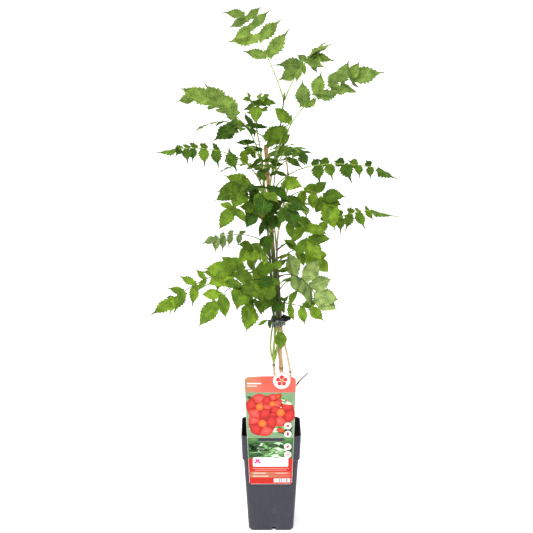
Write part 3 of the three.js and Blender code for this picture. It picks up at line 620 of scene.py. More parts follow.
@dataclass(frozen=True)
class Pot:
    """The square tapered nursery pot with a wider collar. Sizes are in millimetres."""

    height: float = 191
    rim_half: float = 55
    collar_half: float = 53
    collar_foot: float = 144
    shoulder_half: float = 50.3
    shoulder: float = 141
    base_half: float = 41.5
    foot_round: float = 3
    wall: float = 1.6
    corner: float = 11
    drain: Point = (7, 9, 8)  # width, reach inward and height of a drain slot
    drain_offset: float = 5
    notch: Point = (12, 24, 6)  # width, length and height of the block that cuts a corner
    mark: Point = (-2, 48, 5.4)  # x, z and radius of the mould mark on the front
    mark_line: float = 0.35  # its line's radius
    mark_depth: float = 0.2  # how far it is sunk in

    def half_at(self, z: float) -> float:
        """Half width of the outer face at a height."""
        if z >= self.collar_foot:
            share = (z - self.collar_foot) / (self.height - self.collar_foot)
            return self.collar_half + share * (self.rim_half - self.collar_half)
        share = min(z / self.shoulder, 1)
        return self.base_half + share * (self.shoulder_half - self.base_half)

    def profile(self) -> Edge:
        """Height and half width of each ring of the wall, from the foot up."""
        heights = (self.foot_round, self.shoulder, self.collar_foot, self.height)
        return [(0, self.base_half - self.foot_round), *((z, self.half_at(z)) for z in heights)]

    def build(self, finishes: Finishes) -> Piece:
        """Models the pot: a block with round corners, drawn in ring by ring and hollowed."""
        pot = added(bpy.ops.mesh.primitive_cube_add, size=2 * self.rim_half * MM)
        mode("EDIT")
        scale_about((0, 0, 0), (1, 1, self.height / (2 * self.rim_half)))
        bpy.ops.transform.translate(value=(0, 0, self.height / 2 * MM))
        pick(pot, lambda low, high: abs(low.z - high.z) > MM, edges=True)
        bpy.ops.mesh.bevel(offset=self.corner * MM, segments=6, affect="EDGES")
        for z, _ in self.profile()[1:-1]:
            cut_level(z * MM)
        for z, half in self.profile():
            pick(pot, lambda co, z=z: abs(co.z - z * MM) < NEAR * MM)
            share = half / self.rim_half
            scale_about((0, 0, z * MM), (share, share, 1))
        face_out()
        pick(pot, lambda co: co.z > (self.height - NEAR) * MM)
        bpy.ops.mesh.delete(type="ONLY_FACE")
        mode("OBJECT")
        paint(pot, finishes.plastic, finishes.plastic_inside)
        apply_modifier(pot, "SOLIDIFY", thickness=self.wall * MM, offset=-1, material_offset=1)
        self._cut_drains(pot)
        apply_modifier(pot, "BEVEL", width=0.4 * MM, segments=2, limit_method="ANGLE",
            angle_limit=math.radians(32))
        smooth(pot, 30)
        pot = join([pot, self._mould_mark(finishes)], "nursery_pot")
        return hand_over(pot, "pot", "pot")

    def _mould_mark(self, finishes: Finishes) -> Piece:
        """The faint ring that the mould left on the front."""
        x, z, radius = self.mark
        lean = math.atan2(self.shoulder_half - self.base_half, self.shoulder)
        place = Vector((x, self.mark_depth - self.half_at(z), z)) * MM
        ring = added(bpy.ops.mesh.primitive_torus_add, location=place,
            rotation=(math.pi / 2 + lean, 0, 0), major_segments=40, minor_segments=6,
            major_radius=radius * MM, minor_radius=self.mark_line * MM)
        bpy.ops.object.transform_apply()
        paint(ring, finishes.plastic)
        smooth(ring, 60)
        return ring

    def _cut_drains(self, pot: Piece) -> None:
        """Cuts a drain slot into each side and a notch under each corner."""
        cutters = []
        width, inward, tall = self.drain
        out, below = 6, 4  # how far a slot's cutter stands out of the wall and below the foot
        slot_at = (self.drain_offset, (inward - out) / 2 - self.base_half, (tall - below) / 2)
        notch_at = (self.base_half - 1, self.base_half - 1, 1)
        spots = ((slot_at, (width, inward + out, tall + below), 0), (notch_at, self.notch, 45))
        for quarter in range(4):
            turn = Matrix.Rotation(math.pi / 2 * quarter, 4, "Z")
            for place, size, skew in spots:
                cutter = added(bpy.ops.mesh.primitive_cube_add, size=MM)
                spin = Matrix.Rotation(math.radians(skew), 4, "Z")
                whole = turn @ Matrix.Translation(Vector(place) * MM) @ spin
                cutter.data.transform(whole @ Matrix.Diagonal((*size, 1)))
                cutters.append(cutter)
        cutter = join(cutters, "drain_cutters")
        apply_modifier(pot, "BOOLEAN", object=cutter, operation="DIFFERENCE", solver="EXACT")
        bpy.data.objects.remove(cutter, do_unlink=True)


@dataclass(frozen=True)
class Compost:
    """The root ball that fills the pot, with bark chips and crumbs on top. Millimetres."""

    top: float = 158
    crown: float = 4
    foot: float = 5.75
    cells: int = 48
    lump: float = 1.3  # how far the crumbs stand out
    chips: int = 130
    bark: float = 0.86  # the share of them that are bark, the rest being pale crumbs

    def surface(self, x: float, y: float, half: float) -> float:
        """The height of the compost.

        Args:
            x, y: a place on it.
            half: half its width.

        Returns:
            Its height there.
        """
        edge = max(abs(x), abs(y)) / half
        swell = self.crown * (1 - edge**2)
        rough = math.sin(x * 0.9 + 2 * math.sin(y * 0.31)) * math.cos(y * 1.1 + x * 0.23)
        fine = chance(round(x * 3), round(y * 3), 1) - 0.5
        calm = min(1.0, (1 - edge) * 8)
        return self.top + swell + calm * self.lump * (0.6 * rough + fine)

    def build(self, pot: Pot, finishes: Finishes) -> Piece:
        """Models the compost as a grid that is set to its height and extruded down."""
        half = pot.half_at(self.top) - pot.wall - GAP
        round_off = pot.corner * half / pot.rim_half - pot.wall / 2
        compost = added(bpy.ops.mesh.primitive_grid_add, x_subdivisions=self.cells,
            y_subdivisions=self.cells, size=2 * half * MM)
        for vertex in compost.data.vertices:
            x, y = self._within(vertex.co / MM, half, round_off)
            vertex.co = Vector((x, y, self.surface(x, y, half))) * MM
        mode("EDIT")
        bpy.ops.mesh.select_all(action="SELECT")
        bpy.ops.mesh.region_to_loop()
        above, wide = self.top, half
        for z in (pot.collar_foot, pot.shoulder, self.foot):
            next_wide = pot.half_at(z) - pot.wall - GAP
            extrude_up((z - above) * MM)
            share = next_wide / wide
            scale_about((0, 0, z * MM), (share, share, 1))
            above, wide = z, next_wide
        bpy.ops.mesh.edge_face_add()
        face_out()
        mode("OBJECT")
        paint(compost, finishes.compost)
        smooth(compost, 50)
        whole = join([compost, *self._chips(half, finishes)], "compost")
        return hand_over(whole, "soil", "soil")

    @staticmethod
    def _within(place: Vector, half: float, corner: float) -> tuple[float, float]:
        """Draws a place on a square in to the same square with round corners."""
        x, y = place.x, place.y
        over_x, over_y = abs(x) - (half - corner), abs(y) - (half - corner)
        if over_x > 0 and over_y > 0:
            reach = max(over_x, over_y) / math.hypot(over_x, over_y)
            x = math.copysign(half - corner + over_x * reach, x)
            y = math.copysign(half - corner + over_y * reach, y)
        return x, y

    def _chips(self, half: float, finishes: Finishes) -> list[Piece]:
        """Bark chips and pale crumbs, pressed into the surface."""
        chips = []
        seed = added(bpy.ops.mesh.primitive_ico_sphere_add, subdivisions=1, radius=MM)
        for n in range(self.chips):
            x, y = (1.86 * half * (chance(n, 3, axis) - 0.5) for axis in (1, 2))
            long, wide = 1.6 + 3.4 * chance(n, 3, 3) ** 2, 1.0 + 1.2 * chance(n, 3, 4)
            crumb = chance(n, 3, 5) > self.bark
            size = Matrix.Diagonal((1.3, 1.2, 1.1, 1) if crumb else (long, wide, 0.7, 1))
            chip = copy_of(seed)
            place = Vector((x, y, self.surface(x, y, half) + 0.3)) * MM
            turn = Matrix.Rotation(6.28 * chance(n, 3, 6), 4, "Z")
            tilt = Matrix.Rotation(0.5 * (chance(n, 3, 7) - 0.5), 4, "X")
            chip.data.transform(Matrix.Translation(place) @ turn @ tilt @ size)
            paint(chip, finishes.pith if crumb else finishes.chip)
            chips.append(chip)
        bpy.data.objects.remove(seed, do_unlink=True)
        return chips


class Ink(Enum):
    """The label's printing inks."""

    CORAL = srgb(226, 98, 84)
    TAN = srgb(180, 130, 92)
    SCARLET = srgb(196, 30, 12)
    PETAL = srgb(230, 60, 54)
    BLUSH = srgb(244, 104, 94)
    ROSE = srgb(238, 150, 138)
    ORANGE = srgb(230, 92, 28)
    THROAT = srgb(224, 136, 56)
    CRIMSON = srgb(168, 24, 22)
    PALE_GREEN = srgb(150, 198, 132)
    MIST = srgb(128, 158, 120)
    LEAF_GREEN = srgb(100, 152, 76)
    MID_GREEN = srgb(54, 102, 46)
    DARK_GREEN = srgb(16, 42, 20)
    WHITE = srgb(244, 244, 244)
    GREY = srgb(128, 128, 132)
    BLANK = srgb(226, 226, 224)
    SALMON = srgb(204, 88, 70)
    PINK = srgb(224, 66, 140)


@dataclass(frozen=True)
class Label:
    """The plant label, in its own plane: x across, y up from the pot's rim. Millimetres."""

    thickness: float = 0.8
    above: float = 117
    below: float = 93.5
    top_left: float = 49
    top_right: float = 45.5
    bottom_left: float = 40
    bottom_right: float = 38.5
    crown_rise: float = 3
    top_corner: float = 10
    bottom_corner: float = 3
    badge: Point = (19, 109.5, 17)  # x, y and radius
    slot: Point = (22.5, -8.5, -2)  # half width, low and high edge
    margin: float = 0.5  # the bare film round the print
    ply: float = 0.05  # how far one printed layer stands over the last
    strips: tuple[tuple[float, float], ...] = ((-38, -13), (3, 82))  # the leaves' heights
    flowers: Rows = (  # x, y, size and turn of each
        (2, 65, 20, 5), (-21, 59, 26, 20), (17, 48, 28, 50), (-16, 27, 27, 80)
    )
    buds: Rows = (  # x, y, length, width and turn of each
        (6, 74, 17, 9, 40), (10, 16, 16, 9, -20)
    )
    patch_edge: float = -12  # the right edge of the heading's brown corner
    glows: int = 56
    leaves: int = 96

    # Printed layers, from the film up.
    GROUND, RULES, LEAVES, PETALS, BUDS, THROATS, PLAQUES, MARKS = 1, 2, 3, 4, 9.5, 10, 12, 13

    def half_at(self, y: float, side: int) -> float:
        """How far the label's left (-1) or right (1) edge is from its middle at a height."""
        share = (y + self.below) / (self.above + self.below)
        right, left = (self.bottom_right, self.top_right), (self.bottom_left, self.top_left)
        low, high = right if side > 0 else left
        return low + share * (high - low)

    def plane(self, pot: Pot) -> Matrix:
        """The matrix that stands the label's plane against the collar."""
        lean = math.atan2(pot.rim_half - pot.collar_half, pot.height - pot.collar_foot)
        stand = Matrix.Rotation(math.pi / 2 + lean, 4, "X")
        hang = Matrix.Translation(Vector((0, -pot.rim_half, pot.height)) * MM)
        return hang @ stand @ Matrix.Translation((0, 0, GAP * MM)) @ Matrix.Scale(MM, 4)

    def outline(self, low: float, high: float, steps: int = 8) -> Edge:
        """The printed area's edge, counter-clockwise.

        Args:
            low, high: its heights. At the label's own ends it follows their round corners.
            steps: the points of each round corner.

        Returns:
            The edge's points.
        """
        def bend(a: tuple, b: tuple, c: tuple) -> Edge:
            """A round corner from a to c, drawn towards b."""
            shares = (i / steps for i in range(steps + 1))
            return [
                tuple((1 - t) ** 2 * p + 2 * t * (1 - t) * q + t * t * r
                    for p, q, r in zip(a, b, c))
                for t in shares
            ]

        edge = []
        m, corner = self.margin, self.bottom_corner
        floor = -self.below + m
        if low <= floor:
            left, right = -self.bottom_left + m, self.bottom_right - m
            edge += bend((left, floor + corner), (left, floor), (left + corner, floor))
            edge += bend((right - corner, floor), (right, floor), (right, floor + corner))
        else:
            edge += [(-self.half_at(low, -1) + m, low), (self.half_at(low, 1) - m, low)]
        roof, shoulder = self.above - m, self.above - self.top_corner
        if high >= roof:
            left, right = self.half_at(shoulder, -1) - m, self.half_at(shoulder, 1) - m
            inner = (self.top_right - self.top_corner, -self.top_left + self.top_corner)
            edge += bend((right, shoulder), (right, roof), (inner[0], roof))
            edge += bend((inner[0], roof), (0, roof + self.crown_rise), (inner[1], roof))
            edge += bend((inner[1], roof), (-left, roof), (-left, shoulder))
        else:
            edge += [(self.half_at(high, 1) - m, high), (-self.half_at(high, -1) + m, high)]
        return edge

    def stamp(self, edge: Edge, layer: float, ink: Ink, heart: Ink | None = None,
            far: Ink | None = None, heart_at: tuple[float, float] | None = None) -> Piece:
        """Prints one shape, as a thin closed plate that still lies in the label's plane.

        Args:
            edge: its outline, counter-clockwise.
            layer: which printed layer it is in.
            ink, heart: its colours at the edge and, where that differs, at its middle.
            far: its colour at its right end, where it runs from one ink to another.
            heart_at: its middle, or None for the mean of its outline.

        Returns:
            The printed shape.
        """
        count = len(edge)
        plate = added(bpy.ops.mesh.primitive_circle_add, vertices=count, radius=1,
            fill_type="TRIFAN")
        mesh = plate.data
        middle = heart_at or tuple(sum(p[i] for p in edge) / count for i in (0, 1))
        top = self.thickness + layer * self.ply
        turned = sorted((v for v in mesh.vertices if v.co.length > 0.5),
            key=lambda v: math.atan2(v.co.y, v.co.x) % math.tau)
        colours = [(heart or ink).value] * len(mesh.vertices)
        for vertex in mesh.vertices:
            vertex.co = (*middle, top)
        for vertex, place in zip(turned, edge):
            vertex.co = (*place, top)
            colours[vertex.index] = ink.value
        if far:
            left, right = min(x for x, _ in edge), max(x for x, _ in edge)
            for vertex in mesh.vertices:
                share = (vertex.co.x - left) / (right - left)
                ends = zip(ink.value, far.value)
                colours[vertex.index] = tuple(a + share * (b - a) for a, b in ends)
        dye(plate, "ink", colours)
        apply_modifier(plate, "SOLIDIFY", thickness=self.ply * 0.9, offset=-1)
        return plate

    @staticmethod
    def disc(x: float, y: float, radius: float, count: int = 24) -> Edge:
        """A round outline."""
        turns = (math.tau * i / count for i in range(count))
        return [(x + radius * math.cos(t), y + radius * math.sin(t)) for t in turns]

    @staticmethod
    def box(x: float, y: float, wide: float, tall: float, corner: float = 0.6) -> list:
        """A rectangle with round corners.

        Args:
            x, y, wide, tall: its middle and its size.
            corner: the radius of its corners.

        Returns:
            Its points, counter-clockwise.
        """
        edge = []
        for quarter in range(4):
            cx = (wide / 2 - corner) * (1 if quarter in (0, 3) else -1)
            cy = (tall / 2 - corner) * (1 if quarter < 2 else -1)
            for k in range(4):
                t = math.pi / 2 * (quarter + k / 3)
                edge.append((x + cx + corner * math.cos(t), y + cy + corner * math.sin(t)))
        return edge

    @staticmethod
    def blade(x: float, y: float, length: float, wide: float, turn: float, blunt: float = 1,
            count: int = 7) -> Edge:
        """A leaf or petal outline that starts at x, y.

        Args:
            turn: its direction, in degrees from +x.
            blunt: 1 for a leaf with a point, and less for a petal with a round end.
            count: the points down each side.

        Returns:
            Its points, counter-clockwise.
        """
        steps = [i / count for i in range(1, count)]
        bulge = [(s, wide / 2 * math.sin(math.pi * s ** (2 - blunt))) for s in steps]
        local = [(0, 0), *((s, -w) for s, w in bulge), (1, 0),
            *((s, w) for s, w in reversed(bulge))]
        c, s = math.cos(math.radians(turn)), math.sin(math.radians(turn))
        return [(x + u * length * c - v * s, y + u * length * s + v * c) for u, v in local]

    def blossom(self, x: float, y: float, size: float, turn: float) -> Shapes:
        """A flower seen from the front: five broad petals round an orange throat."""
        for petal in range(5):
            angle = turn + 72 * petal
            edge = self.blade(x, y, size, size * 1.05, angle, blunt=0.15, count=9)
            far = math.radians(angle)
            middle = (x + 0.6 * size * math.cos(far), y + 0.6 * size * math.sin(far))
            ink, heart = (Ink.SCARLET, Ink.BLUSH) if petal % 2 else (Ink.CRIMSON, Ink.PETAL)
            yield edge, self.PETALS + petal, ink, heart, None, middle
        yield self.disc(x, y, size * 0.26), self.THROATS, Ink.ORANGE, Ink.THROAT
        yield self.disc(x, y, size * 0.55), self.PETALS - 0.1, Ink.CRIMSON

    def foliage(self) -> Shapes:
        """Round glows and loose leaves behind the flowers, clear of the slot."""
        for n in range(self.glows):
            radius = 2.5 + 6 * chance(n, 6, 3)
            floor, roof = self.strips[n % 2]
            y = floor + radius + (roof - floor - 2 * radius) * chance(n, 6, 2)
            reach = self.half_at(y, 1) - radius - 1
            glow = self.disc(reach * (2 * chance(n, 6, 1) - 1), y, radius, 18)
            rim = (Ink.LEAF_GREEN, Ink.MID_GREEN)[n % 4 > 1]
            heart = (Ink.WHITE, Ink.PALE_GREEN)[n % 3 > 0]
            yield glow, self.RULES + n % 4 * 0.2, rim, heart
        greens = ((Ink.DARK_GREEN, Ink.MID_GREEN), (Ink.MID_GREEN, Ink.LEAF_GREEN),
            (Ink.LEAF_GREEN, Ink.PALE_GREEN), (Ink.PALE_GREEN, Ink.WHITE))
        for n in range(self.leaves):
            length = 12 + 12 * chance(n, 7, 1)
            turn = (20 if n % 4 < 2 else 160) + 70 * (chance(n, 7, 4) - 0.5)
            rise = length * math.sin(math.radians(turn))
            floor, roof = self.strips[n % 2]
            y = floor + (roof - floor) * chance(n, 7, 2)
            y = min(max(y, floor - min(rise, 0)), roof - max(rise, 0))
            run = length * math.cos(math.radians(turn))
            left, right = 2 - self.half_at(y, -1), self.half_at(y, 1) - 2
            x = left + (right - left) * chance(n, 7, 3)
            x = min(max(x, left - min(run, 0)), right - max(run, 0))
            edge = self.blade(x, y, length, length * 0.34, turn)
            ink, heart = greens[int(4 * chance(n, 7, 5) ** (1.4, 0.6)[n % 2])]
            yield edge, self.LEAVES + n % 4 * 0.5, ink, heart

    def icons(self) -> Shapes:
        """Four white care marks: sun, drop, leaf and frost."""
        x, radius = 30.5, 6.6
        sun, drop, leaf, frost = 22, 6, -19, -34.5
        marks = [(x, sun, 4.4, 0.9, 45 * k) for k in range(8)]
        marks += [(x, frost, 4.2, 1, 60 * k) for k in range(6)]
        marks += [(x, drop - 1.6, 6, 4.2, 90), (x - 3, leaf - 3, 8.4, 3.6, 45)]
        for mark in marks:
            yield self.blade(*mark), self.MARKS, Ink.SCARLET
        for y in (sun, drop, leaf, frost):
            yield self.disc(x, y, radius), self.PLAQUES, Ink.WHITE
        for y, size in ((sun, 1.9), (drop - 1.2, 2.2)):
            yield self.disc(x, y, size, 14), self.MARKS, Ink.SCARLET

    def emblem(self) -> Shapes:
        """The round badge in the heading, with a small flower on it."""
        x, y, radius = self.badge
        yield self.disc(x, y, radius - 0.4, 40), self.RULES, Ink.CORAL
        yield self.disc(x, y, radius - 1.5, 40), self.PETALS, Ink.WHITE
        for petal in range(5):
            edge = self.blade(x, y, 11, 8.5, 90 + 72 * petal, blunt=0.3, count=8)
            yield edge, self.PETALS + 1, Ink.SCARLET, Ink.PETAL
        yield self.disc(x, y, 2.6, 16), self.PETALS + 2, Ink.THROAT

    def bands(self) -> Shapes:
        """The plain areas: heading, picture ground round the slot, foot and its rules."""
        heading, foot = 87, -42.5
        slot, low, high = self.slot
        ground = [self.outline(high, heading), self.outline(foot, low)]
        for side in (-1, 1):
            near = side * slot
            far = [(side * (self.half_at(y, side) - self.margin), y) for y in (low, high)]
            strip = [(near, low), *far, (near, high)]
            ground.append(strip if side > 0 else strip[::-1])
        for edge, green in zip(ground, (Ink.MIST, *3 * [Ink.MID_GREEN])):
            yield edge, self.GROUND, green, Ink.LEAF_GREEN
        head = self.outline(heading, self.above)
        yield head, self.GROUND, Ink.CORAL, Ink.SALMON
        yield self.outline(-self.below, foot), self.GROUND, Ink.SCARLET
        # Each panel's middle, width, height and corner, then its layer and its inks.
        panels = (((-1, -49.3, 65, 18.5, 2), 3, Ink.WHITE),
            ((20, -86, 30, 7.5), 3, Ink.WHITE),
            ((-1, -62.2, 66, 1.2, 0.3), 2, Ink.ROSE),
            ((-1, -65.6, 58, 1.2, 0.3), 2, Ink.ROSE),
            ((7, -46, 40, 0.8, 0.3), 4, Ink.BLANK),
            ((7, -53, 40, 0.8, 0.3), 4, Ink.BLANK),
            ((-21, -71.5, 22, 1.6, 0.3), 4, Ink.BLANK, Ink.ROSE),
            ((-19, -77.5, 28, 1.6, 0.3), 4, Ink.BLANK, Ink.ROSE),
            ((19, -71.5, 24, 1.6, 0.3), 4, Ink.ROSE, Ink.BLANK),
            ((-31, 104, 26, 2, 0.6), 3, Ink.WHITE),
            ((-35, 99, 18, 1.2, 0.4), 3, Ink.WHITE))
        for panel, *look in panels:
            yield self.box(*panel), *look
        for y in (-71.5, -77.5):
            yield self.box(-1, y, 74, 5.4), self.RULES, Ink.TAN, None, Ink.SALMON
        for turn in (60, 120, 200, 340):
            yield self.blade(-25, -49, 7, 4, turn), self.PETALS, Ink.PINK
        for bar in range(8):
            wide = 1 + 1.6 * chance(bar, 8, 1)
            yield self.box(10 + 3 * bar, -86, wide, 6.4, 0.2), self.PETALS, Ink.GREY
        foot_left, *corner = [p for p in head if p[0] < self.patch_edge]
        patch = [foot_left, (self.patch_edge, heading), *corner]
        yield patch, self.RULES, Ink.TAN, None, Ink.CORAL

    def shapes(self) -> Shapes:
        """Everything that is printed: what stamp takes, for each shape."""
        yield from self.bands()
        yield from self.foliage()
        for flower in self.flowers:
            yield from self.blossom(*flower)
        for bud in self.buds:
            yield self.blade(*bud), self.BUDS, Ink.SCARLET, Ink.ORANGE
        yield from self.icons()
        yield from self.emblem()

    def build(self, pot: Pot, finishes: Finishes) -> Piece:
        """Prints the label: every shape is joined and laid on the face of the film."""
        sheet = join([self.stamp(*shape) for shape in self.shapes()], "label_print")
        paint(sheet, finishes.print)
        sheet.data.transform(self.plane(pot))
        select_only(sheet)
        bpy.ops.object.shade_flat()
        return hand_over(sheet, "label")


@dataclass(frozen=True)
class Cane:
    """The bamboo cane, in millimetres."""

    foot: Point = (36, 6, 52)
    top: Point = (-10, 2, 720)
    foot_radius: float = 4.3
    top_radius: float = 3.6
    nodes: tuple[float, ...] = (305, 436, 562, 668)
    rings: tuple[Point, ...] = (  # a node's swelling, lip and groove: rise, drop and width
        (0.8 * 0.45, 0, 4), (0.7 * 0.45, 0, 0.9), (-0.9 * 0.45, 2.2, 0.7)
    )
    band: tuple[float, float] = (0.8, 2.3)  # a dark band's drop below its node, and its reach
    step: float = 12  # from one ring of points to the next
    wall: float = 1.5
    hollow: float = 9  # how deep its open end shows

    def at(self, z: float) -> Vector:
        """The cane's axis at a height."""
        share = (z - self.foot[2]) / (self.top[2] - self.foot[2])
        place = Vector(self.foot).lerp(Vector(self.top), share)
        return Vector((place.x, place.y, z))

    def around(self, z: float, reach: float, angle: float) -> Point:
        """A place beside the cane.

        Args:
            z: its height.
            reach, angle: how far it is from the cane's axis, and its angle from +X.

        Returns:
            The place.
        """
        centre = self.at(z)
        turn = math.radians(angle)
        return (centre.x + reach * math.cos(turn), centre.y + reach * math.sin(turn), z)

    def radius_at(self, z: float) -> float:
        """The cane's radius at a height: each node has a swelling, a groove and a lip."""
        share = (z - self.foot[2]) / (self.top[2] - self.foot[2])
        radius = self.foot_radius + share * (self.top_radius - self.foot_radius)
        for node in self.nodes:
            for rise, drop, width in self.rings:
                radius += rise * swelling(z - node + drop, width)
        return radius

    def build(self, finishes: Finishes) -> Piece:
        """Models the cane and cuts its top open."""
        foot, top = self.foot[2], self.top[2]
        steps = range(1, int((top - foot) / self.step))
        heights = {foot, top} | {foot + self.step * i for i in steps}
        for node in self.nodes:
            heights |= {node + 0.7 * i for i in range(-9, 9)}
        line = sorted(heights)
        cane = sweep("bamboo_cane_fine", [self.at(z) * MM for z in line],
            [self.radius_at(z) * MM for z in line], rounds=9)
        paint(cane, finishes.bamboo, finishes.node_wood, finishes.pith)
        drop, reach = self.band
        for polygon in cane.data.polygons:
            z = polygon.center.z / MM
            near = min(abs(z - node + drop) for node in self.nodes)
            polygon.material_index = 1 if near < reach else 0
        mode("EDIT")
        pick(cane, lambda co: co.z > (top - NEAR / 2) * MM)
        bpy.ops.mesh.inset(thickness=self.wall * MM)
        extrude_up(-self.hollow * MM)
        mode("OBJECT")
        for polygon in cane.data.polygons:
            centre = self.at(polygon.center.z / MM) * MM
            inside = (polygon.center - centre).length < 0.8 * self.top_radius * MM
            if polygon.center.z > (top - 1.1 * self.hollow) * MM and inside:
                polygon.material_index = 2
        smooth(cane, 50)
        return hand_over(cane, "cane", "bamboo_cane")


CANE = Cane()


@dataclass(frozen=True)
class Stem:
    """A stem: the points that it runs through, and its radius at its two ends."""

    knots: tuple[Point, ...]
    foot: float
    tip: float
    rise: float = 28  # between two rings of the plain solid

    @property
    def low(self) -> float:
        """The height of its foot."""
        return self.knots[0][2]

    @property
    def high(self) -> float:
        """The height of its tip."""
        return self.knots[-1][2]

    def at(self, z: float) -> Vector:
        """The stem's centre at a height: a smooth curve through its points."""
        k = self.knots
        i = 0
        while i + 2 < len(k) and z > k[i + 1][2]:
            i += 1

        def slope(j: int, axis: int) -> float:
            """How far the curve moves along an axis per mm that it rises, at one point."""
            a, b = k[max(j - 1, 0)], k[min(j + 1, len(k) - 1)]
            return (b[axis] - a[axis]) / (b[2] - a[2])

        span = k[i + 1][2] - k[i][2]
        s = (z - k[i][2]) / span
        here, leave = 2 * s**3 - 3 * s**2 + 1, (s**3 - 2 * s**2 + s) * span
        there, arrive = 3 * s**2 - 2 * s**3, (s**3 - s**2) * span
        x, y = (
            here * k[i][axis] + leave * slope(i, axis)
            + there * k[i + 1][axis] + arrive * slope(i + 1, axis)
            for axis in (0, 1)
        )
        return Vector((x, y, z))

    def radius_at(self, z: float) -> float:
        """The stem's radius at a height."""
        return self.foot + (z - self.low) / (self.high - self.low) * (self.tip - self.foot)

    def chord_at(self, z: float) -> Vector:
        """The centre of the stem's plain solid at a height, on the chord between two rings."""
        count = math.ceil((self.high - self.low) / self.rise)
        step = (self.high - self.low) / count
        low = self.low + step * math.floor((z - self.low) / step)
        return self.at(low).lerp(self.at(low + step), (z - low) / step)

    def tube(self, name: str, knuckles: tuple[float, ...] = (), swell: float = 0.5,
            step: float = 6, rough: float = 0.0, rounds: int = 3) -> Piece:
        """Models the stem as a smooth tube.

        Args:
            name: the new object's name.
            knuckles, swell: the heights of its nodes, and how far it swells there.
            step: the height from one ring to the next.
            rough: how uneven its radius is.
            rounds: the tube's roundness, as for sweep.

        Returns:
            The tube.
        """
        count = math.ceil((self.high - self.low) / step)
        heights = {self.low + (self.high - self.low) * i / count for i in range(count + 1)}
        for z in knuckles:
            heights |= {h for h in (z - 2.4, z - 1, z, z + 1.4, z + 3) if self.low < h < self.high}
        line = sorted(heights)
        radii = []
        for n, z in enumerate(line):
            bump = sum(swell * swelling(z - k, 2.2) for k in knuckles)
            uneven = rough * (chance(n, round(self.low), 5) - 0.5)
            radii.append((self.radius_at(z) + bump + uneven) * MM)
        return sweep(name, [self.at(z) * MM for z in line], radii, rounds)


BREAK = (4.6, -2, 316.9)  # where the green shoots leave the woody stump
LOW_TIE, WAIST, HIGH_TIE = 396, 505, 615  # the heights of the ties, and between them
STEMS = {
    "woody_stump": Stem(((9, -1, 118), (8, -2, 165), (7, -1, 235), (6.6, -2, 285), (4.6, -2, 316)), 3,
        2.3),
    "pruned_stem": Stem(((37, -8, 112), (37, -8, 165), (36.5, -7, 288), (30, -7, 330),
        (23.6, -6.2, 360), CANE.around(LOW_TIE, 7.9, 312), CANE.around(WAIST, 8.2, 312), (13, -8, 566),
        (22, -6, 615), (31, -4, 650), (29, -3, 676), (26, -3, 702)), 2.3, 1.6),
    "left": Stem((BREAK, (0, -3, 335), (-1, -3, 352), (0.5, -1.5, 372), CANE.around(LOW_TIE, 8, 175),
        CANE.around(WAIST, 7.6, 172), CANE.around(HIGH_TIE, 7.4, 176), (-15, 3, 655), (-20, 4, 712)),
        1.7, 1.2),
    "front_left": Stem((BREAK, (5.5, -6, 335), (6, -8, 354), CANE.around(LOW_TIE, 8, 218),
        CANE.around(WAIST, 7.6, 222), CANE.around(HIGH_TIE, 7.4, 219), (-13, -7, 660), (-18, -5, 705),
        (-26, -3, 752), (-25, 0, 790)), 1.7, 1.1),
    "front_right": Stem((BREAK, (10, -6, 335), (11.5, -9, 352), CANE.around(LOW_TIE, 8, 264),
        CANE.around(WAIST, 7.6, 267), CANE.around(HIGH_TIE, 7.4, 265), (-1, -9, 655), (5, -6, 694),
        (13, -3, 736), (18.5, -1, 770), (23, 0, 813)), 1.8, 1.3),
    "right": Stem((BREAK, (9, 7, 336), (16, 13.5, 364), CANE.around(LOW_TIE, 8, 38),
        CANE.around(WAIST, 7.6, 30), CANE.around(HIGH_TIE, 7.4, 32), (6, 7, 660), (13, 6, 706),
        (17, 4, 722)), 1.7, 1.2),
    "back": Stem((BREAK, (4, 4, 338), (7, 11, 364), CANE.around(LOW_TIE, 8, 108),
        CANE.around(WAIST, 7.6, 103), CANE.around(HIGH_TIE, 7.4, 106), (-7, 14, 700), (-5, 18, 742)),
        1.7, 1.1),
    "dead_twig": Stem(((33, -22, 150), (34, -22, 196), (38, -22, 256), (49, -22, 283), (68, -24, 304)),
        1.4, 0.7),
}
WOODY = ("woody_stump", "pruned_stem", "dead_twig")


@dataclass(frozen=True)
class OldWood:
    """The woody stump, the pruned stem and the dead twig."""

    stump_knuckles: tuple[float, ...] = (176, 214, 252, 287, 312)
    pruned_knuckles: tuple[float, ...] = (210, 288, 300, 372, 452, 530, 601, 668)
    twig_knuckles: tuple[float, ...] = (196, 231, 262, 283)
    scar: float = 2.6  # how far a dark node reaches up and down its stem

    def build(self, finishes: Finishes) -> list[Piece]:
        """Models the three stems."""
        plans = (("woody_stump", self.stump_knuckles, 0.7, 0.35, finishes.old_wood, 1),
            ("pruned_stem", self.pruned_knuckles, 0.55, 0.12, finishes.old_wood, 1),
            ("dead_twig", self.twig_knuckles, 0.6, 0.3, finishes.twig, 1.5))
        made = []
        for name, knuckles, swell, rough, finish, stout in plans:
            stem = STEMS[name]
            stem = replace(stem, foot=stout * stem.foot, tip=stout * stem.tip)
            piece = stem.tube(name + "_fine", knuckles, swell, 5, rough)
            paint(piece, finish, finishes.scar, finishes.pith)
            for polygon in piece.data.polygons:
                z = polygon.center.z / MM
                dark = any(abs(z - k) < self.scar / 2 for k in knuckles)
                cut = z > stem.high - 0.3
                polygon.material_index = 2 if cut else 1 if dark else 0
            smooth(piece, 50)
            made.append(hand_over(piece, "old_wood", name))
        return made


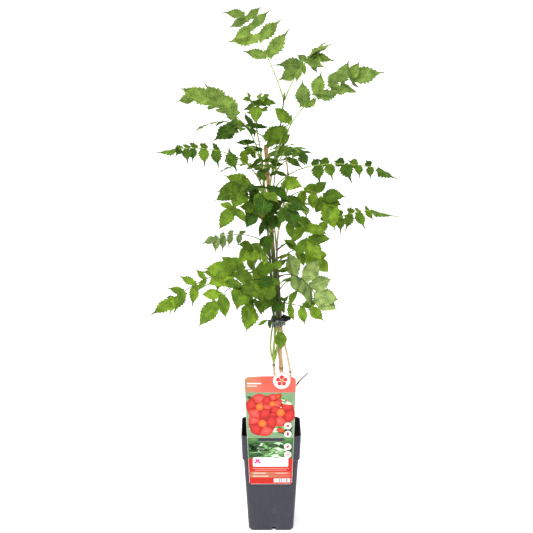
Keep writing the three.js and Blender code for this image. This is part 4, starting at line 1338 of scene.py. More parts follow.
@dataclass(frozen=True)
class Tie:
    """A plastic strap round the bundle, in millimetres."""

    z: float
    inner: float
    height: float
    tail: float
    skirt: float = 0  # how far its torn wrapping hangs down
    thickness: float = 1.1
    sides: int = 48
    turn: float = -10
    tails: tuple[Point, ...] = ((4, 8, 0.5), (-14, -6, 0))  # pitch, turn and rise of each

    def build(self, number: int, finishes: Finishes) -> Piece:
        """Models the ribbed band, its loose tails and its torn wrapping."""
        half = self.height / 2
        ribs = 2 * round(self.height / 1.6)
        band = self._ring(self.inner, -half, half, ribs)
        for vertex in band.data.vertices:
            level = round((vertex.co.z / MM + half) / self.height * ribs)
            angle = math.atan2(vertex.co.y, vertex.co.x)
            slack = 0.25 * math.sin(3 * angle + number) + 0.12 * math.sin(7 * angle)
            grow = 1 + (0.18 * (level % 2) + slack) / self.inner
            vertex.co = Vector((vertex.co.x * grow, vertex.co.y * grow,
                vertex.co.z + 0.35 * MM * math.sin(2 * angle + 1)))
        apply_modifier(band, "SOLIDIFY", thickness=self.thickness * MM, offset=1)
        paint(band, finishes.strap)
        pieces = [band, *(self._tail(*set_at, number, finishes) for set_at in self.tails)]
        if self.skirt:
            pieces.append(self._skirt(finishes))
        tie = join(pieces, f"strap_{number}")
        turn = Matrix.Rotation(math.radians(self.turn), 4, "Z")
        tie.data.transform(Matrix.Translation(CANE.at(self.z) * MM) @ turn)
        apply_modifier(tie, "BEVEL", width=0.15 * MM, segments=1, limit_method="ANGLE")
        smooth(tie, 40)
        return hand_over(tie, "ties", f"tie_{number}")

    def _ring(self, radius: float, low: float, high: float, rows: int) -> Piece:
        """Models an open ring.

        Args:
            radius, low, high: its radius and its edges' heights.
            rows: its rows of faces.

        Returns:
            The ring.
        """
        ring = added(bpy.ops.mesh.primitive_cylinder_add, vertices=self.sides,
            radius=radius * MM, depth=(high - low) * MM, end_fill_type="NOTHING")
        mode("EDIT")
        bpy.ops.transform.translate(value=(0, 0, (high + low) / 2 * MM))
        for row in range(1, rows):
            cut_level((low + (high - low) * row / rows) * MM)
        mode("OBJECT")
        return ring

    def _skirt(self, finishes: Finishes) -> Piece:
        """The torn grey wrapping, whose lower edge hangs in uneven points."""
        top, foot = 0.35 * self.height, -0.5 * self.height
        skirt = self._ring(self.inner + self.thickness + 0.5, foot, top, 3)
        for vertex in skirt.data.vertices:
            drop = (top - vertex.co.z / MM) / (top - foot)
            side = round(self.sides * math.atan2(vertex.co.y, vertex.co.x) / math.tau)
            point = chance(side // 3, 41, 1) * (1 - abs(side % 3 - 1) * 0.6)
            rag = chance(side // 2, 42, 1)
            flare = 1 + 0.05 * (1 - drop) * rag + drop * (0.02 + 0.16 * point)
            sink = self.skirt * drop * point + 0.5 * self.height * (1 - drop) * rag
            vertex.co = Vector((vertex.co.x * flare, vertex.co.y * flare, vertex.co.z - sink * MM))
        apply_modifier(skirt, "SOLIDIFY", thickness=0.4 * MM, offset=1)
        paint(skirt, finishes.wrap)
        return skirt

    def _tail(self, pitch: float, turn: float, rise: float, number: int,
            finishes: Finishes) -> Piece:
        """Models one loose tail, which narrows to a point and curls a little.

        Args:
            pitch, turn: how it is tipped and swung, in degrees.
            rise: the share of the band's height that it leaves it at.
            number: the tie's number, which varies the curl.
            finishes: the materials.

        Returns:
            The tail.
        """
        wide = 0.95 * self.height
        tail = added(bpy.ops.mesh.primitive_grid_add, x_subdivisions=9, y_subdivisions=3, size=1)
        for vertex in tail.data.vertices:
            share = vertex.co.x + 0.5
            narrow = 1 - 0.8 * share
            curl = 0.07 * self.tail * math.sin(2.6 * share + number)
            vertex.co = Vector((-1 + (self.tail + 4) * share, curl + 0.05,
                vertex.co.y * wide * narrow)) * MM
        apply_modifier(tail, "SOLIDIFY", thickness=0.9 * MM, offset=0)
        lift = Matrix.Rotation(math.radians(pitch), 4, "Y")
        swing = Matrix.Rotation(math.radians(turn), 4, "Z")
        start = Vector((self.inner - 2, 0, rise * self.height)) * MM
        tail.data.transform(Matrix.Translation(start) @ swing @ lift)
        paint(tail, finishes.strap)
        return tail


TIES = (
    Tie(LOW_TIE, inner=11.2, height=12, tail=13, skirt=7),
    Tie(HIGH_TIE, inner=9.7, height=5, tail=9),
)


class Tone(Enum):
    """How light and how grey a frond's leaflets are, from 0 to 1."""

    DEEP = (0.13, 0.0)
    MID = (0.4, 0.0)
    # the top fronds' lighter, greyer leaflets: partly their own colour, partly painted sheen of the
    # light from above
    SILVER = (0.48, 0.25)
    FRESH = (0.56, 0.0)
    PALE = (0.62, 0.25)
    GREY = (0.3, 0.7)


class Form(Enum):
    """A leaflet's outline: where its body ends, how slim that is, its teeth and its width."""

    POINTED = (0.83, 1.1, 0.22, 0.27)
    ROUND = (0.88, 0.95, 0.16, 0.28)
    BROAD = (0.92, 0.8, 0.14, 0.38)
    NARROW = (0.8, 1.15, 0.24, 0.225)
    DRIP = (0.68, 0.9, 0.26, 0.27)


DEEP, MID, SILVER, FRESH, PALE, GREY = Tone
POINTED, ROUND, BROAD, NARROW, DRIP = Form


def evenly(count: int, bare: float, length: float) -> Rows:
    """Leaflet pairs at even steps up a rachis, the longest ones lowest.

    Args:
        count: how many pairs.
        bare: the share of the rachis below them.
        length: how long the lowest are.

    Returns:
        A row for each pair, as Frond takes them.
    """
    pairs = []
    for i in range(count):
        step = i / (count - 1) if count > 1 else 0
        size, angle = length * (1 - 0.3 * step), 72 - 14 * step
        pairs.append((bare + (0.93 - bare) * step, angle, size, angle, size))
    return tuple(pairs)


@dataclass(frozen=True)
class Frond:
    """A frond, in millimetres. It leaves its stem at a height and passes through mid to tip.

    face is the way its upper side looks. A row of pairs has their share of the rachis, then the
    angle and length of the left and the right leaflet. end has the last leaflet's, and may add
    its roll. pitch and roll turn the left and the right row out of the frond's plane, hang lets
    leaflets droop, and bright numbers those that are as light as fresh ones.
    """

    name: str
    stem: str
    height: float
    mid: Point
    tip: Point
    face: Point
    end: tuple[float, ...]
    pairs: Rows = ()
    pitch: tuple[float, float] = (0, 0)
    roll: tuple[float, float] = (0, 0)
    hang: float = 0
    broad: float = 1
    tone: Tone = Tone.MID
    form: Form = Form.POINTED
    bright: tuple[int, ...] = ()

    @property
    def node(self) -> str:
        """The name of the frond's plain solid."""
        return f"frond_{self.name}"


FRONDS = (
    Frond("top_left", "front_right", 806, (-8, -10, 878), (-47, -15, 949), (0.15, -1, 0.2), (50, 42),
        pairs=((0.5, 52, 50, 70, 67), (0.71, 66, 61, 84, 61), (0.85, 90, 46, 78, 47),
        (0.95, 85, 42, 84, 40)), tone=SILVER, form=NARROW),
    Frond("top_right", "front_right", 800, (46, 20, 845), (71, 50, 871), (-0.2, -0.9, 0.5), (-56, 50),
        roll=(34, 20), pairs=((0.61, 115, 66, 165, 36), (0.73, 128, 57, 145, 28),
        (0.85, 75, 34, 90, 44), (0.94, -12, 58, 62, 44), (0.99, -38, 56, 100, 34)), tone=SILVER,
        form=NARROW),
    Frond("upper_right", "right", 704, (58, -8, 789), (142, -25, 840), (-0.2, -1, 0.3), (-8, 62),
        roll=(0, 62), broad=1.12, pairs=((0.5, 60, 54, 12, 34), (0.65, 44, 52, 30, 52),
        (0.8, 50, 42, 40, 44), (0.9, 45, 48, 62, 42), (0.98, 38, 42, 75, 26)), tone=SILVER),
    Frond("upper_left", "left", 698, (-59, 14, 766), (-135, 34, 801), (0.2, -1, 0.35), (30, 42),
        roll=(60, 0), broad=1.05, pairs=((0.53, 30, 30, 12, 66), (0.68, 40, 32, 12, 62),
        (0.81, 50, 30, 6, 66), (0.92, 18, 34, 8, 52)), tone=SILVER),
    Frond("back_left_small", "back", 728, (-72, 62, 752), (-126, 90, 741), (0, -0.1, 1), (0, 30),
        hang=0.1, pairs=evenly(4, 0.45, 30), tone=DEEP),
    Frond("front_left", "front_left", 744, (-46, -40, 759), (-68, -70, 757), (0.1, -1, 0.6), (5, 52),
        broad=1.15, pairs=((0.3, 120, 26, 110, 40), (0.5, 62, 38, 30, 38), (0.78, 34, 42, 20, 40),
        (0.95, 15, 50, 25, 34)), tone=DEEP),
    Frond("young_left", "front_left", 776, (-33, -10, 796), (-39, -17, 803), (0.2, -0.8, 0.6), (0, 20),
        hang=0.3, pairs=evenly(2, 0.4, 24), broad=1.15),
    Frond("young_right", "front_left", 783, (-21, -5, 803), (-14, -8, 804), (-0.1, -0.6, 0.7),
        (-10, 26), hang=0.35, pairs=evenly(2, 0.5, 24), broad=1.15),
    Frond("young_front", "front_left", 766, (-26, -24, 789), (-27, -36, 791), (0, -1, 0.4), (10, 33),
        hang=0.9, pairs=evenly(1, 0.7, 26), broad=1.35, form=ROUND),
    Frond("mid_right", "front_right", 692, (20, -28, 741), (36, -42, 768), (0.1, -1, 0.3), (104, 48),
        broad=1.1, pairs=((0.7, 140, 42, 188, 48),), form=ROUND, bright=(2,)),
    Frond("long_left", "left", 640, (-66, -32, 705), (-165, -50, 720), (0.05, -1, 0.2), (14, 48, 70),
        pitch=(12, -55), broad=1.2, pairs=((0.56, 130, 42, 135, 32), (0.7, 120, 36, 120, 34),
        (0.8, 98, 36, 115, 30), (0.88, 88, 28, 110, 28), (0.93, 92, 30, 100, 26),
        (0.98, 62, 26, 95, 22)), tone=DEEP, form=DRIP),
    Frond("long_right", "right", 640, (73, 14, 680), (192, 20, 675), (0, -1, 0.2), (-30, 52, -70),
        pitch=(-45, 18), broad=1.2, pairs=((0.55, 110, 32, 88, 40), (0.65, 150, 34, 82, 36),
        (0.77, 160, 36, 64, 42), (0.87, 160, 32, 78, 28), (0.95, 120, 26, 84, 27)), tone=DEEP,
        form=DRIP),
    Frond("front_right_high", "front_right", 676, (30, -48, 718), (50, -84, 716), (0, -0.25, 1),
        (0, 34), hang=0.15, pairs=evenly(3, 0.4, 40), tone=DEEP),
    Frond("small_right", "right", 672, (32, 28, 690), (54, 46, 682), (0, -0.4, 1), (0, 30), hang=0.2,
        pairs=evenly(2, 0.45, 34), tone=DEEP, form=DRIP),
    Frond("thin_left", "back", 668, (-44, 38, 680), (-80, 58, 668), (0, 0, 1), (0, 30),
        pairs=evenly(2, 0.5, 28), tone=DEEP, form=DRIP),
    Frond("thin_front", "front_left", 664, (-12, -40, 690), (-16, -68, 684), (0, -0.3, 1), (0, 34),
        hang=0.1, pairs=evenly(3, 0.4, 34), tone=DEEP, form=DRIP),
    Frond("inner_left", "front_left", 690, (-29, -22, 712), (-43, -38, 720), (0.1, -1, 0.45), (150, 36),
        roll=(0, 50), pairs=((0.8, 60, 30, 0, 48),), tone=FRESH, form=ROUND),
    Frond("big_left", "left", 622, (-38, -26, 646), (-62, -48, 648), (0.1, -1, 0.45), (6, 52),
        pairs=((0.43, 84, 60, 8, 62), (0.78, 32, 72, 12, 54)), form=ROUND),
    Frond("big_left_low", "front_left", 602, (-45, -48, 627), (-69, -78, 617), (0.1, -1, 0.3), (6, 50),
        pairs=((0.5, 86, 42, 48, 36), (0.95, 72, 40, 80, 28)), tone=FRESH, form=ROUND),
    Frond("centre_high", "front_left", 638, (-10, -50, 652), (-12, -76, 642), (0, -0.9, 0.6), (0, 50),
        hang=0.25, pairs=evenly(2, 0.5, 52), broad=1.3, tone=DEEP, form=ROUND),
    Frond("centre_left", "front_left", 590, (-18, -44, 614), (-30, -66, 612), (0, -0.9, 0.5), (10, 40),
        hang=0.2, pairs=evenly(2, 0.5, 50), broad=1.25, tone=DEEP, form=ROUND),
    Frond("centre_right", "front_right", 610, (17, -50, 628), (30, -80, 618), (0.1, -0.9, 0.5), (0, 46),
        hang=0.2, pairs=evenly(2, 0.5, 50), broad=1.25, tone=DEEP, form=ROUND),
    Frond("centre_front", "front_right", 588, (4, -40, 604), (4, -58, 601), (0, -0.9, 0.4), (0, 32),
        hang=0.35, pairs=evenly(2, 0.55, 42), broad=1.25, tone=DEEP, form=ROUND),
    Frond("right_bright", "front_right", 636, (18, -28, 650), (27, -42, 656), (-0.1, -1, 0.6), (-4, 50),
        pairs=((0.5, 20, 42, 60, 40),), tone=FRESH, form=ROUND),
    Frond("right_mid", "right", 600, (57, 6, 636), (100, -12, 619), (0, -1, 0.4), (-32, 58), broad=1.15,
        pairs=((0.52, 25, 36, 92, 36), (0.72, 45, 34, 86, 36), (0.9, 40, 48, 80, 36),
        (0.97, 18, 36, 100, 30)), form=ROUND),
    Frond("right_far", "right", 528, (94, 18, 575), (182, 28, 597), (0, -1, 0.3), (-32, 62, -68),
        pitch=(-50, 8), pairs=((0.53, 90, 32, 140, 36), (0.68, 80, 32, 110, 38),
        (0.79, 70, 32, 120, 38), (0.86, 60, 30, 78, 40), (0.95, 50, 28, 66, 28)), form=DRIP),
    Frond("right_droop", "front_right", 580, (45, -50, 592), (66, -76, 562), (0.1, -1, 0.4), (10, 46),
        pairs=((0.38, 0, 52, 80, 40), (0.73, 32, 46, 85, 41), (0.97, 70, 44, 58, 43)), form=ROUND),
    Frond("right_low_back", "right", 504, (50, 36, 522), (84, 52, 500), (0.1, -1, 0.4), (-4, 44),
        pairs=((0.45, 120, 34, 90, 38), (0.72, 50, 40, 70, 38), (0.93, 40, 38, 60, 34)), tone=FRESH,
        form=ROUND),
    Frond("right_turned", "right", 478, (50, -18, 482), (81, -34, 451), (-0.1, 1, -0.2), (-20, 50),
        roll=(55, 0), broad=1.22, pairs=((0.39, 60, 40, 122, 48), (0.63, 42, 42, 92, 52),
        (0.8, 40, 42, 72, 50), (0.95, 20, 34, 36, 52)), tone=PALE, form=ROUND),
    Frond("right_lowest", "right", 430, (36, -18, 432), (72, -40, 432), (0, -1, 0.3), (-36, 42),
        broad=1.1, pairs=((0.24, 100, 20, 70, 26), (0.47, 70, 36, 66, 40), (0.82, 28, 34, 80, 40)),
        tone=FRESH),
    Frond("low_left_long", "left", 476, (-89, -11, 487), (-177, -26, 442), (0.1, -1, 0.3), (0, 55),
        pairs=((0.52, 60, 42, 30, 40), (0.67, 35, 32, 68, 30), (0.77, 46, 48, 60, 38),
        (0.89, 30, 49, 46, 36), (0.98, 34, 36, 40, 24)), tone=FRESH, form=NARROW),
    Frond("left_wide", "left", 494, (-38, -16, 496), (-72, -34, 498), (0.1, -1, 0.4), (-10, 54),
        broad=1.15, pairs=((0.4, 114, 50, 60, 26), (0.66, 96, 42, 42, 44), (0.89, 20, 62, 44, 44)),
        tone=FRESH, form=ROUND),
    Frond("front_low", "front_right", 513, (4, -40, 505), (1, -48, 474), (0, -1, 0.1), (-14, 34),
        broad=1.45, pairs=((0.5, 125, 24, 80, 40), (0.85, 60, 20, 62, 30)), tone=DEEP, form=ROUND,
        bright=(0,)),
    Frond("low_left_short", "left", 452, (-61, -38, 471), (-97, -62, 447), (0.1, -1, 0.3), (0, 58),
        pairs=((0.53, 74, 48, 50, 42), (0.84, 46, 48, 55, 40)), tone=FRESH, form=ROUND),
    Frond("low_left_front", "front_left", 474, (-38, -50, 484), (-52, -80, 478), (0.1, -1, 0.45),
        (10, 62), broad=1.15, pairs=((0.5, 95, 50, 30, 50), (0.92, 60, 50, 60, 44)), form=ROUND),
    Frond("centre_low", "front_left", 440, (-24, -42, 450), (-41, -66, 445), (0.1, -1, 0.3), (44, 57),
        broad=1.3, pairs=((0.42, 100, 34, 60, 30), (0.7, 84, 36, 12, 48)), form=ROUND),
    Frond("centre_up", "front_left", 514, (-11, -42, 533), (-20, -58, 537), (0, -1, 0.5), (12, 34),
        pairs=((0.78, 60, 36, 40, 34),), tone=FRESH, form=ROUND),
    Frond("centre_mid", "front_left", 545, (-9, -32, 561), (-10, -43, 558), (0, -1, 0.5), (10, 34),
        hang=0.9, pairs=((0.75, 75, 27, 60, 25),), tone=DEEP, form=ROUND),
    Frond("left_mid", "left", 522, (-26, -18, 536), (-42, -34, 540), (0, -1, 0.5), (40, 46),
        pairs=((0.76, 88, 36, 10, 38),), tone=FRESH, form=ROUND),
    Frond("left_grey", "left", 538, (-50, 18, 553), (-103, 30, 543), (0, -0.8, 0.5), (8, 34),
        pitch=(-20, -40), pairs=((0.56, 70, 28, 110, 26), (0.72, 70, 28, 60, 26),
        (0.85, 62, 34, 50, 26), (0.95, 62, 36, 20, 24)), tone=GREY, form=DRIP),
    Frond("basal_leaf", "front_right", 378, (13, -16, 382), (15, -20, 379), (0.1, -1, 0.3), (0, 36),
        hang=1.2, pairs=(), form=BROAD),
    Frond("back_high", "back", 668, (13, 62, 700), (26, 104, 702), (0, 0.5, 1), (0, 36), hang=0.2,
        pairs=evenly(3, 0.4, 42), tone=DEEP),
    Frond("back_mid", "back", 606, (-24, 58, 632), (-44, 100, 626), (0, 0.5, 0.9), (0, 40), hang=0.3,
        pairs=evenly(3, 0.42, 46)),
    Frond("back_right", "back", 574, (34, 62, 602), (58, 104, 592), (0.2, 0.5, 0.9), (0, 40), hang=0.3,
        pairs=evenly(3, 0.42, 46)),
    Frond("back_low", "back", 494, (-20, 60, 518), (-34, 102, 502), (0, 0.6, 0.8), (0, 42), hang=0.3,
        pairs=evenly(3, 0.42, 48)),
    Frond("back_low_right", "back", 440, (36, 56, 462), (60, 92, 448), (0.3, 0.6, 0.8), (0, 40),
        hang=0.3, pairs=evenly(3, 0.4, 46), form=NARROW),
)


class Rachis:
    """The stalk of a frond: a smooth curve, and the straight chords of its plain solid."""

    FOOT = 1.4  # the plain stalk's radius where it leaves its stem
    STEPS = 4  # its chords
    SEAT = 1.6  # how far the smooth one reaches into its stem

    def __init__(self, frond: Frond) -> None:
        """Works out a frond's stalk from its stem, its mid point and its tip."""
        stem = STEMS[frond.stem]
        centre = stem.chord_at(frond.height)
        mid, tip = Vector(frond.mid), Vector(frond.tip)
        out = Vector((mid.x - centre.x, mid.y - centre.y, 0)).normalized()
        climb = max((mid - centre).normalized().z, 0)
        reach = stem.radius_at(frond.height) + GAP + 0.55 * self.FOOT * climb
        self.base = centre + out * reach
        self.out = out
        self.control = 2 * mid - 0.5 * self.base - 0.5 * tip
        self.tip = tip
        self.chords = [self.curve(i / self.STEPS) for i in range(self.STEPS + 1)]

    def curve(self, share: float) -> Vector:
        """A point of the smooth curve."""
        s = share
        return (1 - s) ** 2 * self.base + 2 * s * (1 - s) * self.control + s * s * self.tip

    def chord(self, share: float) -> tuple[Vector, Vector]:
        """The point and the direction of the plain solid's chord at a share of it."""
        step = min(math.floor(share * self.STEPS), self.STEPS - 1)
        start, end = self.chords[step], self.chords[step + 1]
        return start.lerp(end, share * self.STEPS - step), (end - start).normalized()

    def build(self, shares: tuple[float, ...]) -> Piece:
        """Models the stalk, swollen at its foot and at each share where leaflets sit."""
        steps = [i / 16 for i in range(17)]
        line = [self.base - self.out * (GAP + self.SEAT)] + [self.curve(s) for s in steps]
        radii = [1.7]
        for s in steps:
            radius = 1.25 - 0.6 * s + 0.7 * swelling(s, 0.05)
            radius += sum(0.22 * swelling(s - share, 0.02) for share in shares)
            radii.append(radius)
        return sweep("stalk", [p * MM for p in line], [r * MM for r in radii], rounds=2)


@dataclass(frozen=True)
class Pose:
    """How a leaflet lies: its root, three unit directions, its length and its arch."""

    root: Vector
    reach: Vector
    normal: Vector
    across: Vector
    length: float
    broad: float
    arch: float

    FOLD = 0.16  # how steeply its two halves rise from the rib

    def place(self, x: float, y: float, z: float = 0) -> Vector:
        """A point of the blade. x, y and z are shares of its length."""
        size = self.length
        lift = z - self.arch * x * x + self.FOLD * abs(y) * self.broad
        along = self.root + self.reach * (x * size)
        return along + self.across * (y * size * self.broad) + self.normal * (lift * size)


class Leaflets:
    """The leaflets of one frond, in the poses that its plain solid has them in."""

    ARCH = 0.16
    SWING_STEP = 9  # degrees
    SWINGS = (0, 1, -1, 2, -2, 3, -3, 4, -4, 5, -5, 6, -6, 7, -7)
    SIZES = (1, 0.82, 0.66)
    CORNERS = ((1, 0), (0.4, 0.29), (0.72, 0.1), (0.32, -0.285), (0.65, -0.13))  # of a plain one

    def __init__(self, number: int, frond: Frond, rachis: Rachis) -> None:
        """Indexes the corners of a frond's plain solid by their place."""
        self.number, self.frond, self.rachis = number, frond, rachis
        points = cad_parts[frond.node].data.vertices
        self.tree = KDTree(len(points))
        for i, vertex in enumerate(points):
            self.tree.insert(vertex.co / MM, i)
        self.tree.balance()

    def pose(self, leaf: int, swing: float, size: float) -> Pose:
        """Where a leaflet sits and how it lies.

        Args:
            leaf: its number: even ones are in the left row, and the last one ends the frond.
            swing: how far it was bent clear of its neighbours, in steps.
            size: the share of its length that it was given.

        Returns:
            Its pose.
        """
        frond, number = self.frond, self.number
        row = leaf % 2
        last = leaf == 2 * len(frond.pairs)
        pair = (1, *frond.end) if last else frond.pairs[leaf // 2]
        column = 0 if last else row

        def vary(draw: int, spread: float) -> float:
            """One of this leaflet's random numbers, from -spread / 2 to spread / 2."""
            return spread * (chance(number, leaf, draw) - 0.5)

        point, along = self.rachis.chord(pair[0])
        face = Vector(frond.face)
        up = (face - along * face.dot(along)).normalized()
        side = 1 if row == 1 and not last else -1
        out = along.cross(up) * side
        splay = math.radians(pair[1 + 2 * column])
        flat = along * math.cos(splay) + out * math.sin(splay)
        turn = (0 if last else frond.pitch[row]) + vary(2, 14) + self.SWING_STEP * swing
        pitch = math.radians(turn)
        reach = flat * math.cos(pitch) + up * math.sin(pitch)
        reach = (reach - Vector((0, 0, frond.hang))).normalized()
        normal = up * math.cos(pitch) - flat * math.sin(pitch)
        normal = (normal - reach * normal.dot(reach)).normalized()
        turned = (frond.end[2] if len(frond.end) > 2 else 0) if last else frond.roll[row]
        normal.rotate(Quaternion(reach, math.radians(side * turned + vary(4, 20))))
        return Pose(root=point - along if last else point, reach=reach, normal=normal,
            across=normal.cross(reach),
            length=pair[2 + 2 * column] * (0.96 + vary(5, 0.08)) * size,
            broad=frond.broad, arch=self.ARCH * (0.5 + chance(number, leaf, 6)))

    def found(self, leaf: int) -> tuple[Pose, float]:
        """The pose whose corners lie on the plain solid's, and how far off they are."""
        best, miss = None, math.inf
        for size in self.SIZES:
            for swing in self.SWINGS:
                pose = self.pose(leaf, swing, size)
                offs = sorted(self.tree.find(pose.place(x, y))[2] for x, y in self.CORNERS)
                if sum(offs[:3]) < miss:
                    best, miss = pose, sum(offs[:3])
        return best, miss


@dataclass(frozen=True)
class LeafBlank:
    """The leaflet that others are copied from: 1 long, along +X, toothed and quilted."""

    form: Form
    columns: int = 40
    rows: int = 6
    tail: float = 0.15  # half of the drawn-out tip's width, if it ran back to the root
    tip: float = 0.008  # half of its narrowest
    pitch: int = 4  # columns from one tooth to the next
    first: int = 13  # the column of the first tooth's point
    last: int = 33
    stagger: int = 2  # columns that the left side's teeth are set on
    lean: float = 0.7  # columns that a tooth's point leans forward
    slant: int = 8  # columns from a vein's root to its tooth
    thickness: float = 0.009
    quilt: float = 0.012

    def plain_half(self, share: float) -> float:
        """Half the blade's width at a share of its length, without its teeth."""
        end, slim, _, wide = self.form.value
        inside = min(max(share, 0), 1)
        body = math.sin(math.pi * min(inside / end, 1) ** 0.9) ** slim if inside < end else 0
        return max(wide * body, self.tail * (1 - inside), self.tip)

    def first_tooth(self, side: int) -> int:
        """The column of the first tooth's point on the right (1) or left (-1) side."""
        return self.first + (0 if side > 0 else self.stagger)

    def half_width(self, column: int, side: int) -> float:
        """Half the blade's width at a column of one side, with its teeth."""
        half = self.plain_half(column / self.columns)
        first = self.first_tooth(side)
        if first - self.pitch < column < self.last + self.pitch:
            notch = self.form.value[2]
            half *= 1 - notch * (0, 1, 0.62, 0.28)[(column - first) % self.pitch]
        return half

    def build(self, finishes: Finishes) -> Piece:
        """Models the blank from a grid."""
        blank = added(bpy.ops.mesh.primitive_grid_add, x_subdivisions=self.columns,
            y_subdivisions=self.rows, size=1)
        blank.name = f"{self.form.name.lower()}_leaf_blank"
        mode("EDIT")
        bpy.ops.transform.translate(value=(0.5, 0, 0))
        near = 0.2 / self.columns
        for column in range(self.columns + 1):
            x = column / self.columns
            pick(blank, lambda co, x=x: abs(co.x - x) < near)
            scale_about((x, 0, 0), (1, 2, 1))
            for side in (-1, 1):
                pick(blank, lambda co, x=x, side=side: abs(co.x - x) < near and co.y * side > 0)
                scale_about((x, 0, 0), (1, self.half_width(column, side), 1))
        for side in (-1, 1):
            for column in range(self.first_tooth(side), self.last + 1, self.pitch):
                x, edge = column / self.columns, 0.9 * self.half_width(column, side)
                pick(blank, lambda co, x=x, edge=edge, side=side:
                    abs(co.x - x) < near and co.y * side > edge)
                bpy.ops.transform.translate(value=(self.lean / self.columns, 0, 0))
        mode("OBJECT")
        for vertex in blank.data.vertices:
            x = vertex.co.x
            side = min(abs(vertex.co.y) / self.plain_half(x), 1)
            left = self.stagger if vertex.co.y < 0 else 0
            start = x * self.columns - left - self.slant * side
            wave = math.cos(math.tau * (start - self.first + self.slant) / self.pitch)
            fade = math.sin(math.pi * side) ** 0.7 * math.sin(math.pi * min(x, 1))
            vertex.co.z = -self.quilt * wave * max(fade, 0)
        paint(blank, finishes.blade, finishes.underside)
        apply_modifier(blank, "SOLIDIFY", thickness=self.thickness, offset=-1, material_offset=1)
        smooth(blank, 50)
        return blank


class Foliage:
    """Every frond of the plant."""

    DRY_FROM, WORN_FROM = 0.9, 0.75  # the draws from which a leaflet's tip is dry, or a little

    def __init__(self, finishes: Finishes) -> None:
        """Models a leaf blank for each outline."""
        self.finishes = finishes
        self.blanks = {form: LeafBlank(form).build(finishes) for form in Form}
        self.shapes = {form: np.array([vertex.co for vertex in blank.data.vertices])
            for form, blank in self.blanks.items()}

    def leaflet(self, pose: Pose, shift: Vector, number: int, leaf: int, form: Form,
            tone: Tone) -> Piece:
        """Copies a blank and lays it in a pose, with its own waves, curl and tint.

        Args:
            pose, form, tone: how it lies, its outline and how light it is.
            shift: how far the smooth rachis is from the straight one there.
            number, leaf: its frond's number and its own.

        Returns:
            The leaflet.
        """
        def draw(n: int) -> float:
            """One of this leaflet's random numbers, from 0 to 1."""
            return chance(number, leaf, n)

        x, y, z = self.shapes[form].T
        size, side = pose.length, y / form.value[3]
        ripple = 0.012 + 0.02 * draw(11)
        wave = ripple * np.sin(math.tau * (2.3 * x + draw(12))) * np.abs(side) ** 1.5
        twist = 0.1 * (draw(13) - 0.5) * side * x
        curl = -0.07 * (draw(14) - 0.2) * np.maximum(x - 0.6, 0) ** 2 * 4
        bend = 0.09 * (draw(15) - 0.5) * x * x
        fold = pose.FOLD + 0.2 * draw(18)
        lift = z + wave + twist + curl - pose.arch * x * x + fold * np.abs(y) * pose.broad
        place = np.array(pose.root + shift)
        place = place + np.outer(x * size, pose.reach)
        place = place + np.outer((y * pose.broad + bend) * size, pose.across)
        place = place + np.outer(lift * size, pose.normal)
        piece = copy_of(self.blanks[form])
        piece.data.vertices.foreach_set("co", (place * MM).ravel())
        light, grey = tone.value
        light = min(max(light + 0.5 * (draw(16) - 0.5), 0), 1)
        dry = 0.85 if draw(17) > self.DRY_FROM else 0.25 if draw(17) > self.WORN_FROM else 0.0
        dye(piece, "tint", [(light, dry, grey, 1)] * len(x))
        return piece

    def frond(self, number: int, frond: Frond) -> Piece:
        """Models one frond: its leaflets, joined with its stalk."""
        rachis = Rachis(frond)
        leaflets = Leaflets(number, frond, rachis)
        pieces = []
        for leaf in range(2 * len(frond.pairs), -1, -1):
            pose, miss = leaflets.found(leaf)
            if miss > 0.1:
                LOG.warning("%s: leaflet %d lies %.2f mm off", frond.name, leaf, miss)
            share = 1.0 if leaf == 2 * len(frond.pairs) else frond.pairs[leaf // 2][0]
            shift = rachis.curve(share) - rachis.chord(share)[0]
            tone = Tone.FRESH if leaf in frond.bright else frond.tone
            pieces.append(self.leaflet(pose, shift, number, leaf, frond.form, tone))
        stalk = rachis.build(tuple(pair[0] for pair in frond.pairs))
        paint(stalk, self.finishes.shoot)
        smooth(stalk, 60)
        whole = join([*pieces, stalk], f"{frond.name}_frond")
        return hand_over(whole, "leaves", frond.node)

    def build(self) -> None:
        """Models every frond and the small leaves, and drops the blanks."""
        for number, frond in enumerate(FRONDS):
            self.frond(number, frond)
        SmallLeaves(self).build()
        for blank in self.blanks.values():
            bpy.data.objects.remove(blank, do_unlink=True)


@dataclass(frozen=True)
class GreenShoots:
    """The five green shoots that climb the cane, with a node wherever a frond leaves them."""

    # painted shade: these shoots take the darker finish between these heights, in mm
    shaded: tuple[str, ...] = ("left", "back")
    shade: tuple[float, float] = (386, 650)
    old: tuple[float, float] = (756, 830)  # the dark top of the tallest shoot

    def build(self, finishes: Finishes) -> Piece:
        """Models the shoots. Some of them get painted shade, a darker finish, where they lie in the
        bundle.
        """
        shoots = []
        for name, stem in STEMS.items():
            if name in WOODY:
                continue
            knuckles = tuple(frond.height for frond in FRONDS if frond.stem == name)
            shoot = stem.tube(name, knuckles, swell=0.55, rough=0.1)
            paint(shoot, finishes.shoot, finishes.dark_shoot)
            low, high = self.shade if name in self.shaded else self.old
            for polygon in shoot.data.polygons:
                polygon.material_index = int(low < polygon.center.z / MM < high)
            shoots.append(shoot)
        whole = join(shoots, "climbing_shoots")
        smooth(whole, 60)
        return hand_over(whole, "shoots", "green_shoots")


